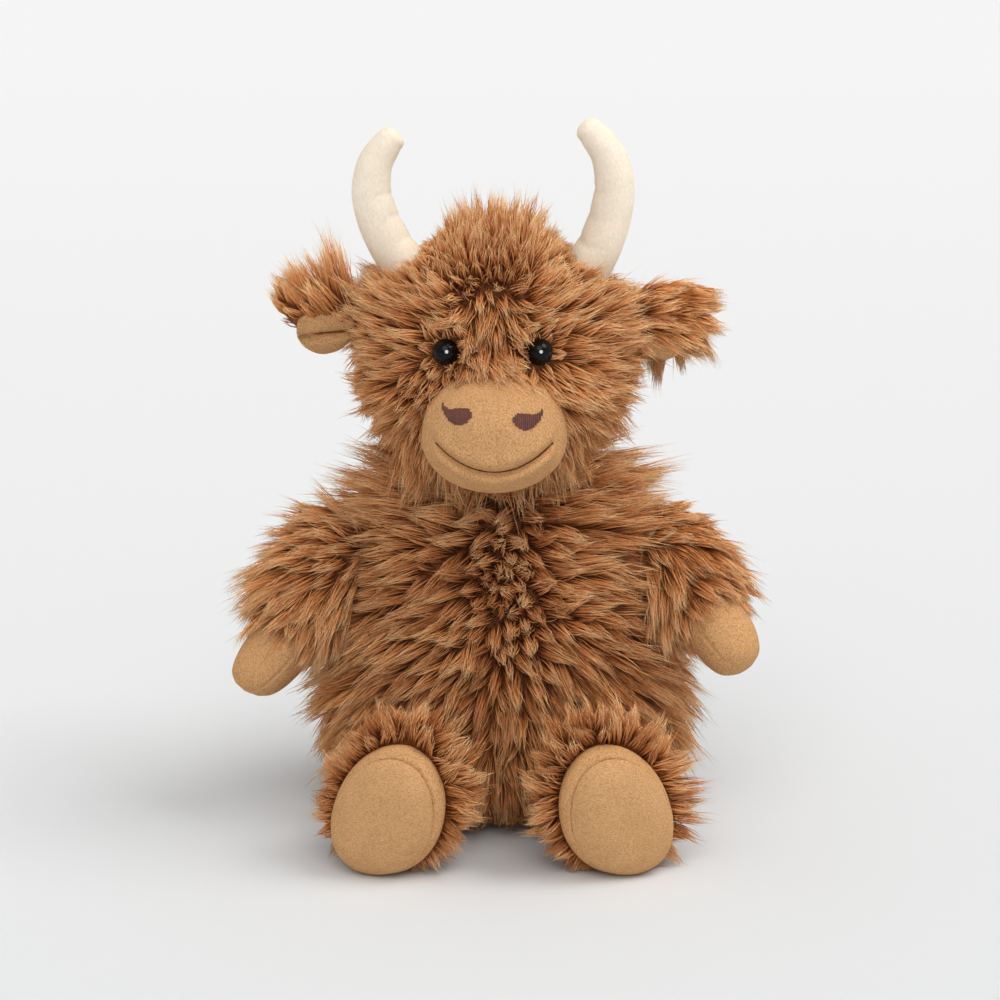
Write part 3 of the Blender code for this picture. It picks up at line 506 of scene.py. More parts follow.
def furTree():      # skin with comb, lift, reach, cover and tint on its points in, clumped strands out
    tree = bpy.data.node_groups.new("combedFur", "GeometryNodeTree")
    face = tree.interface
    face.new_socket("Geometry", in_out="INPUT", socket_type="NodeSocketGeometry")
    for name, kind in (("Lock Spacing", "Float"), ("Density", "Float"), ("Strand Radius", "Float"),
                       ("Clump", "Float"), ("Stray", "Float"), ("Seed", "Int"),
                       ("Strand", "Object"), ("Material", "Material")):
        face.new_socket(name, in_out="INPUT", socket_type="NodeSocket" + kind)
    face.new_socket("Geometry", in_out="OUTPUT", socket_type="NodeSocketGeometry")
    nodes, links = tree.nodes, tree.links
    source, out = nodes.new("NodeGroupInput"), nodes.new("NodeGroupOutput")

    def named(name, kind="FLOAT"):
        node = nodes.new("GeometryNodeInputNamedAttribute")
        node.data_type = kind
        node.inputs["Name"].default_value = name
        return node.outputs["Attribute"]

    def maths(operation, *values):
        node = nodes.new("ShaderNodeMath")
        node.operation = operation
        for socket, value in zip(node.inputs, values):
            if isinstance(value, (int, float)):
                socket.default_value = value
            else:
                links.new(value, socket)
        return node.outputs[0]

    def vectors(operation, *values):
        node = nodes.new("ShaderNodeVectorMath")
        node.operation = operation
        sockets = [node.inputs[0], node.inputs["Scale"]] if operation == "SCALE" else node.inputs
        for socket, value in zip(sockets, values):
            if isinstance(value, (int, float, tuple)):
                socket.default_value = value
            else:
                links.new(value, socket)
        return node.outputs["Value"] if operation == "LENGTH" else node.outputs[0]

    def chance(low, high, offset, kind="FLOAT"):
        node = nodes.new("FunctionNodeRandomValue")
        node.data_type = kind
        key = [s for s in node.inputs if s.name == "Min" and s.enabled][0]
        top = [s for s in node.inputs if s.name == "Max" and s.enabled][0]
        key.default_value, top.default_value = low, high
        links.new(maths("ADD", source.outputs["Seed"], offset), node.inputs["Seed"])
        return [s for s in node.outputs if s.enabled][0]

    def store(geometry, name, value, kind, domain="POINT"):
        node = nodes.new("GeometryNodeStoreNamedAttribute")
        node.data_type, node.domain = kind, domain
        node.inputs["Name"].default_value = name
        links.new(geometry, node.inputs["Geometry"])
        links.new(value, [s for s in node.inputs if s.name == "Value" and s.enabled][0])
        return node.outputs["Geometry"]

    # the locks' middles, each with the place of its own tip
    locks = nodes.new("GeometryNodeDistributePointsOnFaces")
    locks.distribute_method = "POISSON"
    locks.inputs["Density Max"].default_value = 400000
    links.new(source.outputs["Geometry"], locks.inputs["Mesh"])
    links.new(source.outputs["Lock Spacing"], locks.inputs["Distance Min"])
    links.new(source.outputs["Seed"], locks.inputs["Seed"])
    position = nodes.new("GeometryNodeInputPosition").outputs[0]
    lean = vectors("ADD", named("comb", "FLOAT_VECTOR"),
                   vectors("SCALE", chance((-1, -1, -1), (1, 1, 1), 11, "FLOAT_VECTOR"), 0.32))
    rise = maths("ADD", named("lift"), chance(-0.14, 0.16, 12))
    lockWay = vectors("NORMALIZE", vectors("ADD", vectors("SCALE", lean, maths("COSINE", rise)),
                                           vectors("SCALE", locks.outputs["Normal"], maths("SINE", rise))))
    lockReach = maths("MULTIPLY", named("reach"), chance(0.72, 1.20, 13))
    lockTip = vectors("ADD", position, vectors("SCALE", lockWay, lockReach))
    lockSet = store(locks.outputs["Points"], "lockTip", lockTip, "FLOAT_VECTOR")
    lockSet = store(lockSet, "lockRoot", position, "FLOAT_VECTOR")
    lockSet = store(lockSet, "lockTone", chance(0.0, 1.0, 14), "FLOAT")

    # the hairs, each leaning to the tip of the nearest lock
    hairs = nodes.new("GeometryNodeDistributePointsOnFaces")
    hairs.distribute_method = "RANDOM"
    links.new(source.outputs["Geometry"], hairs.inputs["Mesh"])
    links.new(maths("MULTIPLY", source.outputs["Density"], named("cover")), hairs.inputs["Density"])
    links.new(maths("ADD", source.outputs["Seed"], 5), hairs.inputs["Seed"])
    nearest = nodes.new("GeometryNodeSampleNearest")
    nearest.domain = "POINT"
    links.new(lockSet, nearest.inputs["Geometry"])
    links.new(position, nearest.inputs["Sample Position"])

    def ofLock(name, kind):
        node = nodes.new("GeometryNodeSampleIndex")
        node.data_type, node.domain = kind, "POINT"
        links.new(lockSet, node.inputs["Geometry"])
        links.new(named(name, kind), [s for s in node.inputs if s.name == "Value" and s.enabled][0])
        links.new(nearest.outputs["Index"], node.inputs["Index"])
        return [s for s in node.outputs if s.enabled][0]

    fromRoot = vectors("SUBTRACT", position, ofLock("lockRoot", "FLOAT_VECTOR"))
    loose = maths("SUBTRACT", 1.0, source.outputs["Clump"])
    aim = vectors("SUBTRACT", vectors("ADD", ofLock("lockTip", "FLOAT_VECTOR"), vectors("SCALE", fromRoot, loose)),
                  position)
    length = vectors("LENGTH", aim)
    loner = maths("MULTIPLY", maths("GREATER_THAN", chance(0.0, 1.0, 26), 0.94), 0.13)
    astray = vectors("SCALE", chance((-1, -1, -1), (1, 1, 1), 21, "FLOAT_VECTOR"),
                     maths("MULTIPLY", length, maths("ADD", source.outputs["Stray"], loner)))
    aim = vectors("ADD", aim, astray)
    # hairs at a lock's rim are shorter, so it ends in a point
    rim = maths("DIVIDE", vectors("LENGTH", fromRoot), source.outputs["Lock Spacing"])
    pointed = maths("SUBTRACT", 1.12, maths("MULTIPLY", rim, fur["point"]))
    ownLength = maths("MULTIPLY", maths("MULTIPLY", length, pointed), chance(0.78, 1.04, 22))
    turned = nodes.new("FunctionNodeAlignRotationToVector")
    turned.axis = "Z"
    links.new(aim, turned.inputs["Vector"])
    rolled = nodes.new("FunctionNodeAlignRotationToVector")
    rolled.axis, rolled.pivot_axis = "X", "Z"
    links.new(turned.outputs["Rotation"], rolled.inputs["Rotation"])
    outwards = vectors("ADD", hairs.outputs["Normal"], vectors("SCALE", fromRoot, 130.0))
    links.new(vectors("ADD", outwards, vectors("SCALE", chance((-1, -1, -1), (1, 1, 1), 24, "FLOAT_VECTOR"), 0.4)),
              rolled.inputs["Vector"])
    thick = maths("MULTIPLY", source.outputs["Strand Radius"], chance(0.72, 1.25, 23))
    size = nodes.new("ShaderNodeCombineXYZ")
    for socket, value in zip(size.inputs, (thick, thick, ownLength)):
        links.new(value, socket)
    # the tone takes in the tint, which holds the fur's own colour and painted light and shade
    tone = maths("ADD", maths("ADD", maths("MULTIPLY", ofLock("lockTone", "FLOAT"), 0.42),
                              chance(0.0, 0.42, 25)), maths("ADD", named("tint"), 0.08))
    hairSet = store(hairs.outputs["Points"], "tone", tone, "FLOAT")
    shape = nodes.new("GeometryNodeObjectInfo")
    links.new(source.outputs["Strand"], shape.inputs["Object"])
    grown = nodes.new("GeometryNodeInstanceOnPoints")
    links.new(hairSet, grown.inputs["Points"])
    links.new(shape.outputs["Geometry"], grown.inputs["Instance"])
    links.new(rolled.outputs["Rotation"], grown.inputs["Rotation"])
    links.new(size.outputs[0], grown.inputs["Scale"])
    real = nodes.new("GeometryNodeRealizeInstances")
    links.new(grown.outputs["Instances"], real.inputs["Geometry"])
    spot = nodes.new("ShaderNodeCombineXYZ")
    links.new(named("tone"), spot.inputs[0])
    links.new(named("along"), spot.inputs[1])
    mapped = store(real.outputs["Geometry"], "OFBake", spot.outputs[0], "FLOAT2", "CORNER")
    finish = nodes.new("GeometryNodeSetMaterial")
    links.new(mapped, finish.inputs["Geometry"])
    links.new(source.outputs["Material"], finish.inputs["Material"])
    links.new(finish.outputs["Geometry"], out.inputs["Geometry"])
    return tree


strand = strandShape()
combedFur = furTree()
furSeed = [0]


# runs a node tree on a piece and keeps its result as a plain mesh in a new piece
def bakeTree(piece, tree, values, name):
    step = piece.modifiers.new("grow", "NODES")
    step.node_group = tree
    for item in tree.interface.items_tree:
        if item.item_type == "SOCKET" and item.in_out == "INPUT" and item.name in values:
            step[item.identifier] = values[item.name]
    graph = bpy.context.evaluated_depsgraph_get()
    graph.update()
    mesh = bpy.data.meshes.new_from_object(piece.evaluated_get(graph), depsgraph=graph)
    piece.modifiers.remove(step)
    mesh.name = name
    made = bpy.data.objects.new(name, mesh)
    bpy.context.scene.collection.objects.link(made)
    return made


# keep picks the faces that carry this batch; lie holds comb, lift, reach, cover and tint with one value for each
# point, where the tint holds both the fur's own colour and painted light and shade; the style scales the values of fur
def growFur(name, verts, faces, keep, lie, rider, density=1.0, spacing=1.0, radius=1.0, clump=1.0, stray=1.0):
    bed = makePiece(name + "Bed", verts, [faces[k] for k in keep])
    mesh = bed.data
    for label, values in zip(("comb", "lift", "reach", "cover", "tint"), lie):
        values = np.asarray(np.broadcast_to(values, (len(verts), 3) if label == "comb" else len(verts)), np.float32)
        layer = mesh.attributes.new(label, "FLOAT_VECTOR" if label == "comb" else "FLOAT", "POINT")
        layer.data.foreach_set("vector" if label == "comb" else "value", values.ravel())
    furSeed[0] += 17
    grown = bakeTree(bed, combedFur, {
        "Lock Spacing": fur["lockSpacing"] * spacing, "Density": fur["density"] * density,
        "Strand Radius": fur["strandRadius"] * radius, "Clump": fur["clump"] * clump, "Stray": fur["stray"] * stray,
        "Seed": furSeed[0], "Strand": strand, "Material": longFur,
    }, name)
    mesh = grown.data
    for layer in list(mesh.attributes):
        if layer.name in fur["ownLayers"]:
            mesh.attributes.remove(layer)
    co = np.empty(len(mesh.vertices) * 3, np.float32)
    mesh.vertices.foreach_get("co", co)
    co = co.reshape(-1, 3)
    pressed = 0.0004 + 0.0008 * np.clip(co[:, 2] / fur["ground"] + 1, 0, 1)
    co[:, 2] = np.where(co[:, 2] < fur["ground"], pressed, co[:, 2])
    mesh.vertices.foreach_set("co", co.ravel())
    mesh.shade_smooth()
    mesh.update()
    bpy.data.objects.remove(bed, do_unlink=True)
    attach(grown, rider)
    print(name, len(mesh.loop_triangles), "triangles")


def faceNormals(verts, faces):      # point normals of a closed skin, as an array
    mesh = bpy.data.meshes.new("skin")
    mesh.from_pydata([tuple(v) for v in verts], [], faces)
    mesh.update()
    out = np.empty(len(verts) * 3, np.float32)
    mesh.vertices.foreach_get("normal", out)
    bpy.data.meshes.remove(mesh)
    return out.reshape(-1, 3).astype(float)


def flatten(way, normals):      # the part of each way that lies in the skin, at unit length
    return unit(way - normals * np.sum(way * normals, axis=1, keepdims=True))


def aimed(way, normals, least=0.22):      # comb and lift of hair that points one way, at least a little off the skin
    d = unit(np.broadcast_to(np.asarray(way, float), normals.shape))
    off = np.clip(np.sum(d * normals, axis=1), sin(least), 0.9995)
    return flatten(d, normals), np.arcsin(off)


def standing(comb, lift, normals):      # the hair's own way, from its comb and lift
    return comb * np.cos(lift)[:, None] + normals * np.sin(lift)[:, None]


def bend(hair, target, share):      # turns hair towards a target by a share at each point
    share = np.clip(share, 0, 1)[:, None]
    return unit(hair * (1 - share) + unit(np.broadcast_to(np.asarray(target, float), hair.shape)) * share)


def faceCentres(verts, faces):
    return np.array([verts[list(f)].mean(axis=0) for f in faces])


def sectors(centres, middle, edges):      # the faces of each slice round a standing axis, with edges in degrees
    angle = np.degrees(np.arctan2(centres[:, 0] - middle[0], -centres[:, 1] + middle[1])) % 360
    return [(angle >= low) & (angle < high) for low, high in zip(edges, edges[1:])]


body = {
    "width": 0.080, "depth": 0.058, "height": 0.172, "pile": 0.008,
    "profile": [(0.000, 0.42, 0.42), (0.022, 0.66, 0.68), (0.075, 0.84, 0.86), (0.16, 0.955, 0.965),
                (0.28, 1.0, 1.0), (0.42, 0.965, 0.975), (0.55, 0.885, 0.91), (0.67, 0.80, 0.84),
                (0.76, 0.73, 0.775), (0.83, 0.66, 0.70), (0.88, 0.56, 0.60), (0.93, 0.45, 0.50), (0.965, 0.30, 0.34)],
    "whorl": (0.0040, -0.050),
    "partingLow": 0.100, "partingHigh": 0.124, "partingWidth": 0.020, "waver": 0.006,
    "reach": 0.0235,
    "slices": [0, 52, 104, 180, 256, 308, 360],      # one batch of fur each, in degrees
    "style": {"density": 1.25, "spacing": 0.88, "radius": 0.92, "clump": 1.04},
}


def makeBody():
    rings = [(max(0.0018, up * body["height"]), wide * body["width"] - body["pile"],
              deep * body["depth"] - body["pile"], 0, 0) for up, wide, deep in curveThrough(body["profile"], 44)]
    verts, faces = loftRings(closed(0.0016, rings, rings[-1][0] + 0.001), 72)
    skin = makePiece("bodySkin", verts, faces, furCloth)
    dress(skin, "body", "body_cover")

    normals = faceNormals(verts, faces)
    x, high = verts[:, 0], verts[:, 2]
    parting = ways(*body["whorl"], np.clip(high, body["partingLow"], body["partingHigh"]))
    parting[:, 0] += body["waver"] * np.sin(high * 130 + 1.0)
    out = verts - parting
    away = np.hypot(out[:, 0], out[:, 2])
    radial = unit(out * np.array((1.0, 0.3, 1.0)))
    radial[:, 2] = np.minimum(radial[:, 2], 0.10) - 0.42
    front = smoothStep(0.35, -0.35, normals[:, 1])
    down = np.array((0.0, 0.0, -1.0)) + 0.45 * normals * np.array((1, 1, 0))
    facing = bell(away, body["partingWidth"]) * front      # the parting's locks stand out, each its own way
    astray = np.random.default_rng(5).normal(0, 1, (len(verts), 3)) * (0.10 + 0.75 * facing)[:, None]
    comb = flatten(unit(radial) * front[:, None] + down * (1 - front)[:, None] + astray, normals)
    neck = smoothStep(0.112, 0.140, high) * smoothStep(0.012, 0.032, np.abs(x))
    hair = bend(standing(comb, 0.55 + 0.75 * facing, normals), ways(np.sign(x), -0.12, 0.28), 0.9 * neck)
    comb, lift = aimed(hair, normals)
    side = x / body["width"]
    low = smoothStep(0.030, 0.004, high)
    sideGrow = (0.30 * np.abs(side) + 0.12 * side) * smoothStep(0.15, 0.08, high)
    reach = body["reach"] * (1.04 - 0.30 * facing + sideGrow + 0.62 * neck)
    between = smoothStep(0.030, 0.016, np.abs(x)) * front      # short hair between the legs
    reach = reach * (1 - 0.45 * low) * (1 - 0.35 * low * between)
    cover = np.where(high > 0.164, 0.15, 1.0) * (1 - 0.9 * smoothStep(0.006, 0.002, high)) * (1 + 0.8 * facing)
    # painted shade: the tint darkens the parting's locks under the beard and the fur towards the floor
    lie = (comb, lift, reach, cover, -0.08 * facing - 0.05 * low)
    centres = faceCentres(verts, faces)
    for k, inside in enumerate(sectors(centres, (0, 0), body["slices"])):
        keep = np.where(inside & (centres[:, 2] > 0.003))[0]
        growFur("bodyFur_%d" % (k + 1), verts, faces, keep, lie, "body", **body["style"])
    print("body done")


head = {
    "centre": (-0.004, -0.008, 0.2095), "half": (0.064, 0.058, 0.0575), "pile": 0.008,
    "whorl": (-0.005, -0.066, 0.2205),
    "reach": 0.0220, "beardReach": 0.032, "tuftReach": 0.0195,
    "middle": (-0.004, -0.008), "slices": [0, 60, 120, 180, 240, 300, 360],
    "style": {"density": 1.6, "spacing": 0.70, "radius": 0.84, "clump": 0.97, "stray": 1.35},
    "tuftStyle": {"density": 2.2, "spacing": 0.80, "radius": 0.90, "stray": 0.8},
    "beardStyle": {"density": 1.3, "spacing": 1.10, "radius": 0.86, "clump": 1.02, "stray": 1.3},
}
muzzle = {
    "centre": (-0.0033, -0.058, 0.186), "halfWidth": 0.0304, "halfHeight": 0.0245, "depth": 0.024,
    "power": 2.5, "taper": 0.09, "lowPower": 2.0, "lowReach": 1.06,
    "sunk": 0.003, "swell": 0.0012, "fillShare": 0.90,
}
eyes = {
    "spread": 0.0192, "rise": 0.0098, "radius": 0.0057, "depth": 0.0062, "yaw": radians(14), "standOut": 0.0012,
    "bare": 0.0054, "near": 0.0155,      # no hair, and short hair, closer than this
}
horns = {
    "shift": 0.0020, "reach": 0.0520, "rise": {"left": 0.0592, "right": 0.0628}, "lean": radians(3),
    "baseRadius": 0.0102, "tipRadius": 0.0056,
    "path": [(-0.20, -0.09), (0.0, 0.0), (0.48, 0.18), (0.84, 0.38), (1.0, 0.58), (0.84, 0.78), (0.42, 0.92),
             (0.22, 0.965)],
    "radii": [1.0, 0.98, 0.93, 0.88, 0.82, 0.72, 0.60, 0.52],
    "bare": 0.0085, "creases": (0.16, 0.27, 0.40, 0.54), "creaseDepth": 0.0005, "swell": 0.0009,
    "seed": {"left": 7, "right": 8},
}


def eyePlace(side):      # the eye's seat and the way that it looks
    x, z = side * eyes["spread"], eyes["rise"]
    half = np.array(head["half"]) - head["pile"]
    y = -half[1] * sqrt(1 - (x / half[0]) ** 2 - (z / half[2]) ** 2)
    way = Vector((side * sin(eyes["yaw"]), -cos(eyes["yaw"]), 0))
    return Vector(head["centre"]) + Vector((x, y, z)) + way * eyes["standOut"], way


def hornPoints(name):
    side = bothSides[name]
    base = Vector((0.60 * head["half"][0], 0, 0.62 * head["half"][2]))
    lean = Matrix.Rotation(-side * horns["lean"], 3, "Y")
    points = []
    for out, up in horns["path"]:
        place = base + lean @ Vector((out * (horns["reach"] - base.x), 0, up * horns["rise"][name]))
        points.append(Vector(head["centre"]) + Vector((side * place.x + horns["shift"], place.y, place.z)))
    return points


def makeHead():
    half = np.array(head["half"]) - head["pile"]
    verts, faces = ballOf(half, head["centre"], 80, 48)
    skin = makePiece("headSkin", verts, faces, furCloth)
    dress(skin, "head", "head_cover")

    normals = unit((verts - np.array(head["centre"])) / half ** 2)
    out = verts - np.array(head["whorl"])
    out[:, 2] *= np.where(out[:, 2] < 0, 0.55, 1.0)
    across, high = out[:, 0], verts[:, 2]
    front = smoothStep(0.45, -0.25, normals[:, 1])
    upper = smoothStep(-0.2, 0.5, normals[:, 2])
    radial = flatten(out * np.array((1.0, 0.6, 1.0)), normals)
    back = flatten((0.0, 0.15, -1.0) + 0.35 * normals * np.array((1, 1, 0)), normals)
    comb = flatten(radial * front[:, None] + back * (1 - front)[:, None] * (1 - 0.6 * upper)[:, None], normals)
    jaw = smoothStep(-0.15, -0.6, normals[:, 2])
    comb = flatten(comb + (0, 0, -0.9) * jaw[:, None], normals)
    crown = smoothStep(0.45, 0.85, normals[:, 2])
    hair = standing(comb, 0.56 + 0.42 * smoothStep(0.35, 0.85, normals[:, 2]), normals)

    # the fringe falls down the face below a line, and stands up above it
    forehead = bell(across, 0.0150) * smoothStep(0.270, 0.254, high) * front
    up = smoothStep(0.236, 0.252, high)
    fringe = ways(0.12 * np.sin(high * 900), -0.50 - 0.30 * bell(high - 0.244, 0.007), 1.62 * up - 0.86)
    hair = bend(hair, fringe, 0.95 * forehead)
    besideLeft = 0.66 * smoothStep(0.008, 0.024, -across) * smoothStep(0.052, 0.040, -across)
    trim = besideLeft + 0.56 * smoothStep(0.012, 0.028, across)      # short beside the horns
    reach = head["reach"] * (1 + crown * (0.10 * bell(across - 0.002, 0.015) - trim)) * (1 - 0.22 * forehead)
    beard = jaw * front * smoothStep(0.040, 0.028, np.abs(across))
    hair = bend(hair, ways(across * 6, -0.5, -1.0), 0.8 * beard)
    reach = reach * (1 + 0.35 * beard)
    for name in bothSides:
        toEar = verts - np.array(jointAt["ear_%s_flap" % name[0]])
        temple = bell(np.linalg.norm((toEar - (0, 0, 0.014)) * (0.5, 0.6, 0.9), axis=1), 0.017)
        hair = bend(hair, ears["temple"][name], 1.15 * temple)
        reach = reach * (1 + 0.30 * temple)
        below = bell(np.linalg.norm((toEar - (0, -0.012, -0.010)) * (0.6, 0.6, 0.9), axis=1), 0.014)
        reach = reach * (1 - ears["cheekTrim"][name] * below)

    # round the muzzle the hair is short, but it falls over its top
    cover = np.ones(len(verts))
    toMuzzle = verts - np.array(muzzle["centre"])
    inMuzzle = np.sqrt((toMuzzle[:, 0] / (muzzle["halfWidth"] - muzzle["sunk"])) ** 2
                       + (toMuzzle[:, 2] / (muzzle["halfHeight"] - muzzle["sunk"])) ** 2)
    faceSide = verts[:, 1] < -0.03
    cover[faceSide & (inMuzzle < 0.90)] = 0
    nearMuzzle = np.where(faceSide, smoothStep(1.55, 1.0, inMuzzle), 0)
    over = np.maximum(smoothStep(1.80, 1.36, inMuzzle) * smoothStep(0.006, 0.016, toMuzzle[:, 2]),
                      bell(across, 0.020) * smoothStep(0.2215, 0.2150, high) * front)
    over = np.where(faceSide & (toMuzzle[:, 2] > 0), over, 0)
    hair = bend(hair, ways(-0.30 + 1.0 * smoothStep(-0.010, 0.004, across), -0.86, -0.26), over)
    golden = over * smoothStep(-0.008, 0.002, across)
    reach = reach * (1 - 0.40 * nearMuzzle * (1 - over) - 0.22 * (over - golden) + 0.22 * golden)
    for side in bothSides.values():
        place = np.array(eyePlace(side)[0])
        gap = np.linalg.norm(verts - place, axis=1)
        cover[gap < eyes["bare"]] = 0
        near = smoothStep(eyes["near"], 0.006, gap)
        reach = reach * (1 - 0.62 * near)
        cover = cover * (1 + 0.6 * near)
        turnedAway = flatten(verts - place + np.array((0, 0, 0.002)), normals) + 0.45 * normals
        hair = bend(hair, turnedAway, 0.75 * near)
    for name in bothSides:
        root = np.array(hornPoints(name)[1])
        gap = np.linalg.norm((verts - root) * np.array((1, 1, 0.5)), axis=1)
        cover[gap < horns["bare"]] = 0
        reach = reach * (1 - 0.30 * smoothStep(0.022, 0.010, gap))
    cover = cover * (1 - 0.95 * smoothStep(-0.80, -0.92, normals[:, 2]))
    # painted light: the tint lightens the fur on the front of the face and on top of the head; the golden hair over the
    # muzzle is its own colour
    lie = (*aimed(hair, normals), reach, cover, 0.08 * front + 0.05 * upper + 0.34 * golden)
    centres = faceCentres(verts, faces)
    for k, inside in enumerate(sectors(centres, head["middle"], head["slices"])):
        growFur("headFur_%d" % (k + 1), verts, faces, np.where(inside)[0], lie, "head", **head["style"])

    # a golden tuft falls from between the eyes over the muzzle's top
    rightward = smoothStep(-0.012, 0.004, across)
    fall = ways(-0.25 + 0.80 * rightward, -0.92, -0.26)
    tuft = smoothStep(0.2175, 0.2150, high) * smoothStep(0.2080, 0.2100, high)
    tuft = tuft * smoothStep(0.0125, 0.0080, np.abs(across + 0.0010)) * front
    reach = head["tuftReach"] * (0.70 + 0.30 * rightward)
    keep = np.where((centres[:, 2] > 0.207) & (centres[:, 2] < 0.221)
                    & (np.abs(centres[:, 0]) < 0.034) & (centres[:, 1] < -0.03))[0]
    lie = (*aimed(fall, normals, 0.30), reach, 1.5 * tuft, 0.02 + 0.22 * rightward)
    growFur("tuftFur", verts, faces, keep, lie, "head", **head["tuftStyle"])

    # the long locks of the beard hang over the chest
    astray = np.random.default_rng(9).normal(0, 0.22, (len(verts), 3))
    hang = ways((verts[:, 0] + 0.010) * 12, -0.42, -1.0) + astray
    reach = np.where(verts[:, 0] < 0.008, head["beardReach"], 0.80 * head["beardReach"])
    below = smoothStep(0.182, 0.172, high) * smoothStep(-0.012, -0.024, verts[:, 1])
    below = below * smoothStep(0.046, 0.034, np.abs(across))
    keep = np.where((centres[:, 2] < 0.182) & (centres[:, 1] < -0.012))[0]
    lie = (*aimed(hang, normals, 0.10), reach, 0.55 * below * (inMuzzle > 0.90), 0.02)
    growFur("beardFur", verts, faces, keep, lie, "head", **head["beardStyle"])
    print("head done")


smile = {
    "halfWidth": 0.0244, "drop": 0.0128, "curve": 0.0112, "groove": 0.0028, "grooveWidth": 0.0014,
    "threadRadius": 0.00036, "corner": 0.0266, "fold": 0.0016,
}
muzzleCloth = []      # the finished cloth, which the threads are laid on


def smileHeight(x):
    return smile["curve"] * (x / smile["halfWidth"]) ** 2 - smile["drop"]


def muzzleRelief(x, z):      # dents and swells of the muzzle's cloth, positive outwards
    inside = smoothStep(smile["halfWidth"] * 1.10, smile["halfWidth"] * 0.94, np.abs(x))
    gap = (z - smileHeight(x)) / sqrt(1 + 0.2)
    crease = -smile["groove"] * bell(gap, smile["grooveWidth"]) * inside
    lip = 0.0022 * bell(gap + 0.0042, 0.0026) * inside
    upperLip = 0.0013 * bell(gap - 0.0040, 0.0030) * inside
    corner = 0
    for side in bothSides.values():
        away = np.hypot((x - side * (smile["corner"] - 0.10 * (z + 0.001))) / 0.0010, (z + 0.0020) / 0.0060)
        corner = corner - smile["fold"] * np.exp(-away ** 2)
    dimple = -0.0008 * np.exp(-((x + 0.0003) / 0.0030) ** 2 - ((z + 0.0035) / 0.0065) ** 2)
    return crease + lip + upperLip + corner + dimple


def makeMuzzle():
    around, rows = 120, 46
    verts = [(0, -muzzle["depth"], 0)]
    turn = 2 * pi * np.arange(around) / around
    c, s = np.cos(turn), np.sin(turn)
    power = np.where(s > 0, muzzle["power"], muzzle["lowPower"])
    cx, sz = np.sign(c) * np.abs(c) ** (2 / power), np.sign(s) * np.abs(s) ** (2 / power)
    drop = np.where(s > 0, 1.0, muzzle["lowReach"])
    shares = [(share, -sqrt(max(0, 1 - share ** 2))) for share in np.sin(np.linspace(0, pi / 2, rows + 1))[1:]]
    shares += [(share, 0.6 * sqrt(1 - share ** 2)) for share in (0.96, 0.80, 0.50)]      # the back, in the head
    for share, deep in shares:
        z = share * muzzle["halfHeight"] * sz * drop
        x = share * muzzle["halfWidth"] * cx * (1 - muzzle["taper"] * z / muzzle["halfHeight"])
        verts += list(zip(x, np.full(around, deep * muzzle["depth"]), z))
    verts.append((0, muzzle["depth"] * 0.6, 0))
    faces = []
    top = 1 + (len(shares) - 1) * around
    for k in range(around):
        n = (k + 1) % around
        faces.append((0, 1 + k, 1 + n))
        for low in range(1, top, around):
            faces.append((low + k, low + around + k, low + around + n, low + n))
        faces.append((top + n, top + k, top + around))
    verts = np.array(verts)
    verts = swollen(verts, faces, verts[:, 1] > -0.003, muzzle["swell"])
    front = verts[:, 1] < -0.001
    verts[front, 1] -= muzzleRelief(verts[front, 0], verts[front, 2])
    centre = np.array(muzzle["centre"])
    verts = verts + centre
    piece = makePiece("muzzlePad", verts, faces, tanPlush)
    muzzleCloth.append(BVHTree.FromPolygons([tuple(v) for v in verts], faces))
    dress(piece, "head", "muzzle_cover")
    fill = makePiece("muzzleFill", (verts - centre) * muzzle["fillShare"] + centre, faces, fibreFill)
    dress(fill, "head", "muzzle_stuffing")
    makeNostrils()
    makeSmile()
    print("muzzle done")


def onMuzzle(x, z, lift=0.0):      # points on the muzzle's cloth, lifted along its normal
    points = []
    for across, up, high in zip(x, z, np.broadcast_to(lift, len(x))):
        start = Vector(muzzle["centre"]) + Vector((across, -0.05, up))
        place, normal, _, _ = muzzleCloth[0].ray_cast(start, Vector((0, 1, 0)))
        points.append(place + normal * high)
    return np.array([tuple(p) for p in points])


def threadTree():      # each edge chain of the mesh that comes in becomes a round thread
    tree = bpy.data.node_groups.new("threads", "GeometryNodeTree")
    face = tree.interface
    face.new_socket("Geometry", in_out="INPUT", socket_type="NodeSocketGeometry")
    face.new_socket("Thread Radius", in_out="INPUT", socket_type="NodeSocketFloat")
    face.new_socket("Material", in_out="INPUT", socket_type="NodeSocketMaterial")
    face.new_socket("Geometry", in_out="OUTPUT", socket_type="NodeSocketGeometry")
    nodes, links = tree.nodes, tree.links
    source, out = nodes.new("NodeGroupInput"), nodes.new("NodeGroupOutput")
    chain = nodes.new("GeometryNodeMeshToCurve")
    ring = nodes.new("GeometryNodeCurvePrimitiveCircle")
    ring.inputs["Resolution"].default_value = 6
    tube = nodes.new("GeometryNodeCurveToMesh")
    tube.inputs["Fill Caps"].default_value = True
    real = nodes.new("GeometryNodeRealizeInstances")
    finish = nodes.new("GeometryNodeSetMaterial")
    links.new(source.outputs["Geometry"], chain.inputs["Mesh"])
    links.new(source.outputs["Thread Radius"], ring.inputs["Radius"])
    links.new(chain.outputs["Curve"], tube.inputs["Curve"])
    links.new(ring.outputs["Curve"], tube.inputs["Profile Curve"])
    links.new(tube.outputs["Mesh"], real.inputs["Geometry"])
    links.new(real.outputs["Geometry"], finish.inputs["Geometry"])
    links.new(source.outputs["Material"], finish.inputs["Material"])
    links.new(finish.outputs["Geometry"], out.inputs["Geometry"])
    return tree


threads = threadTree()


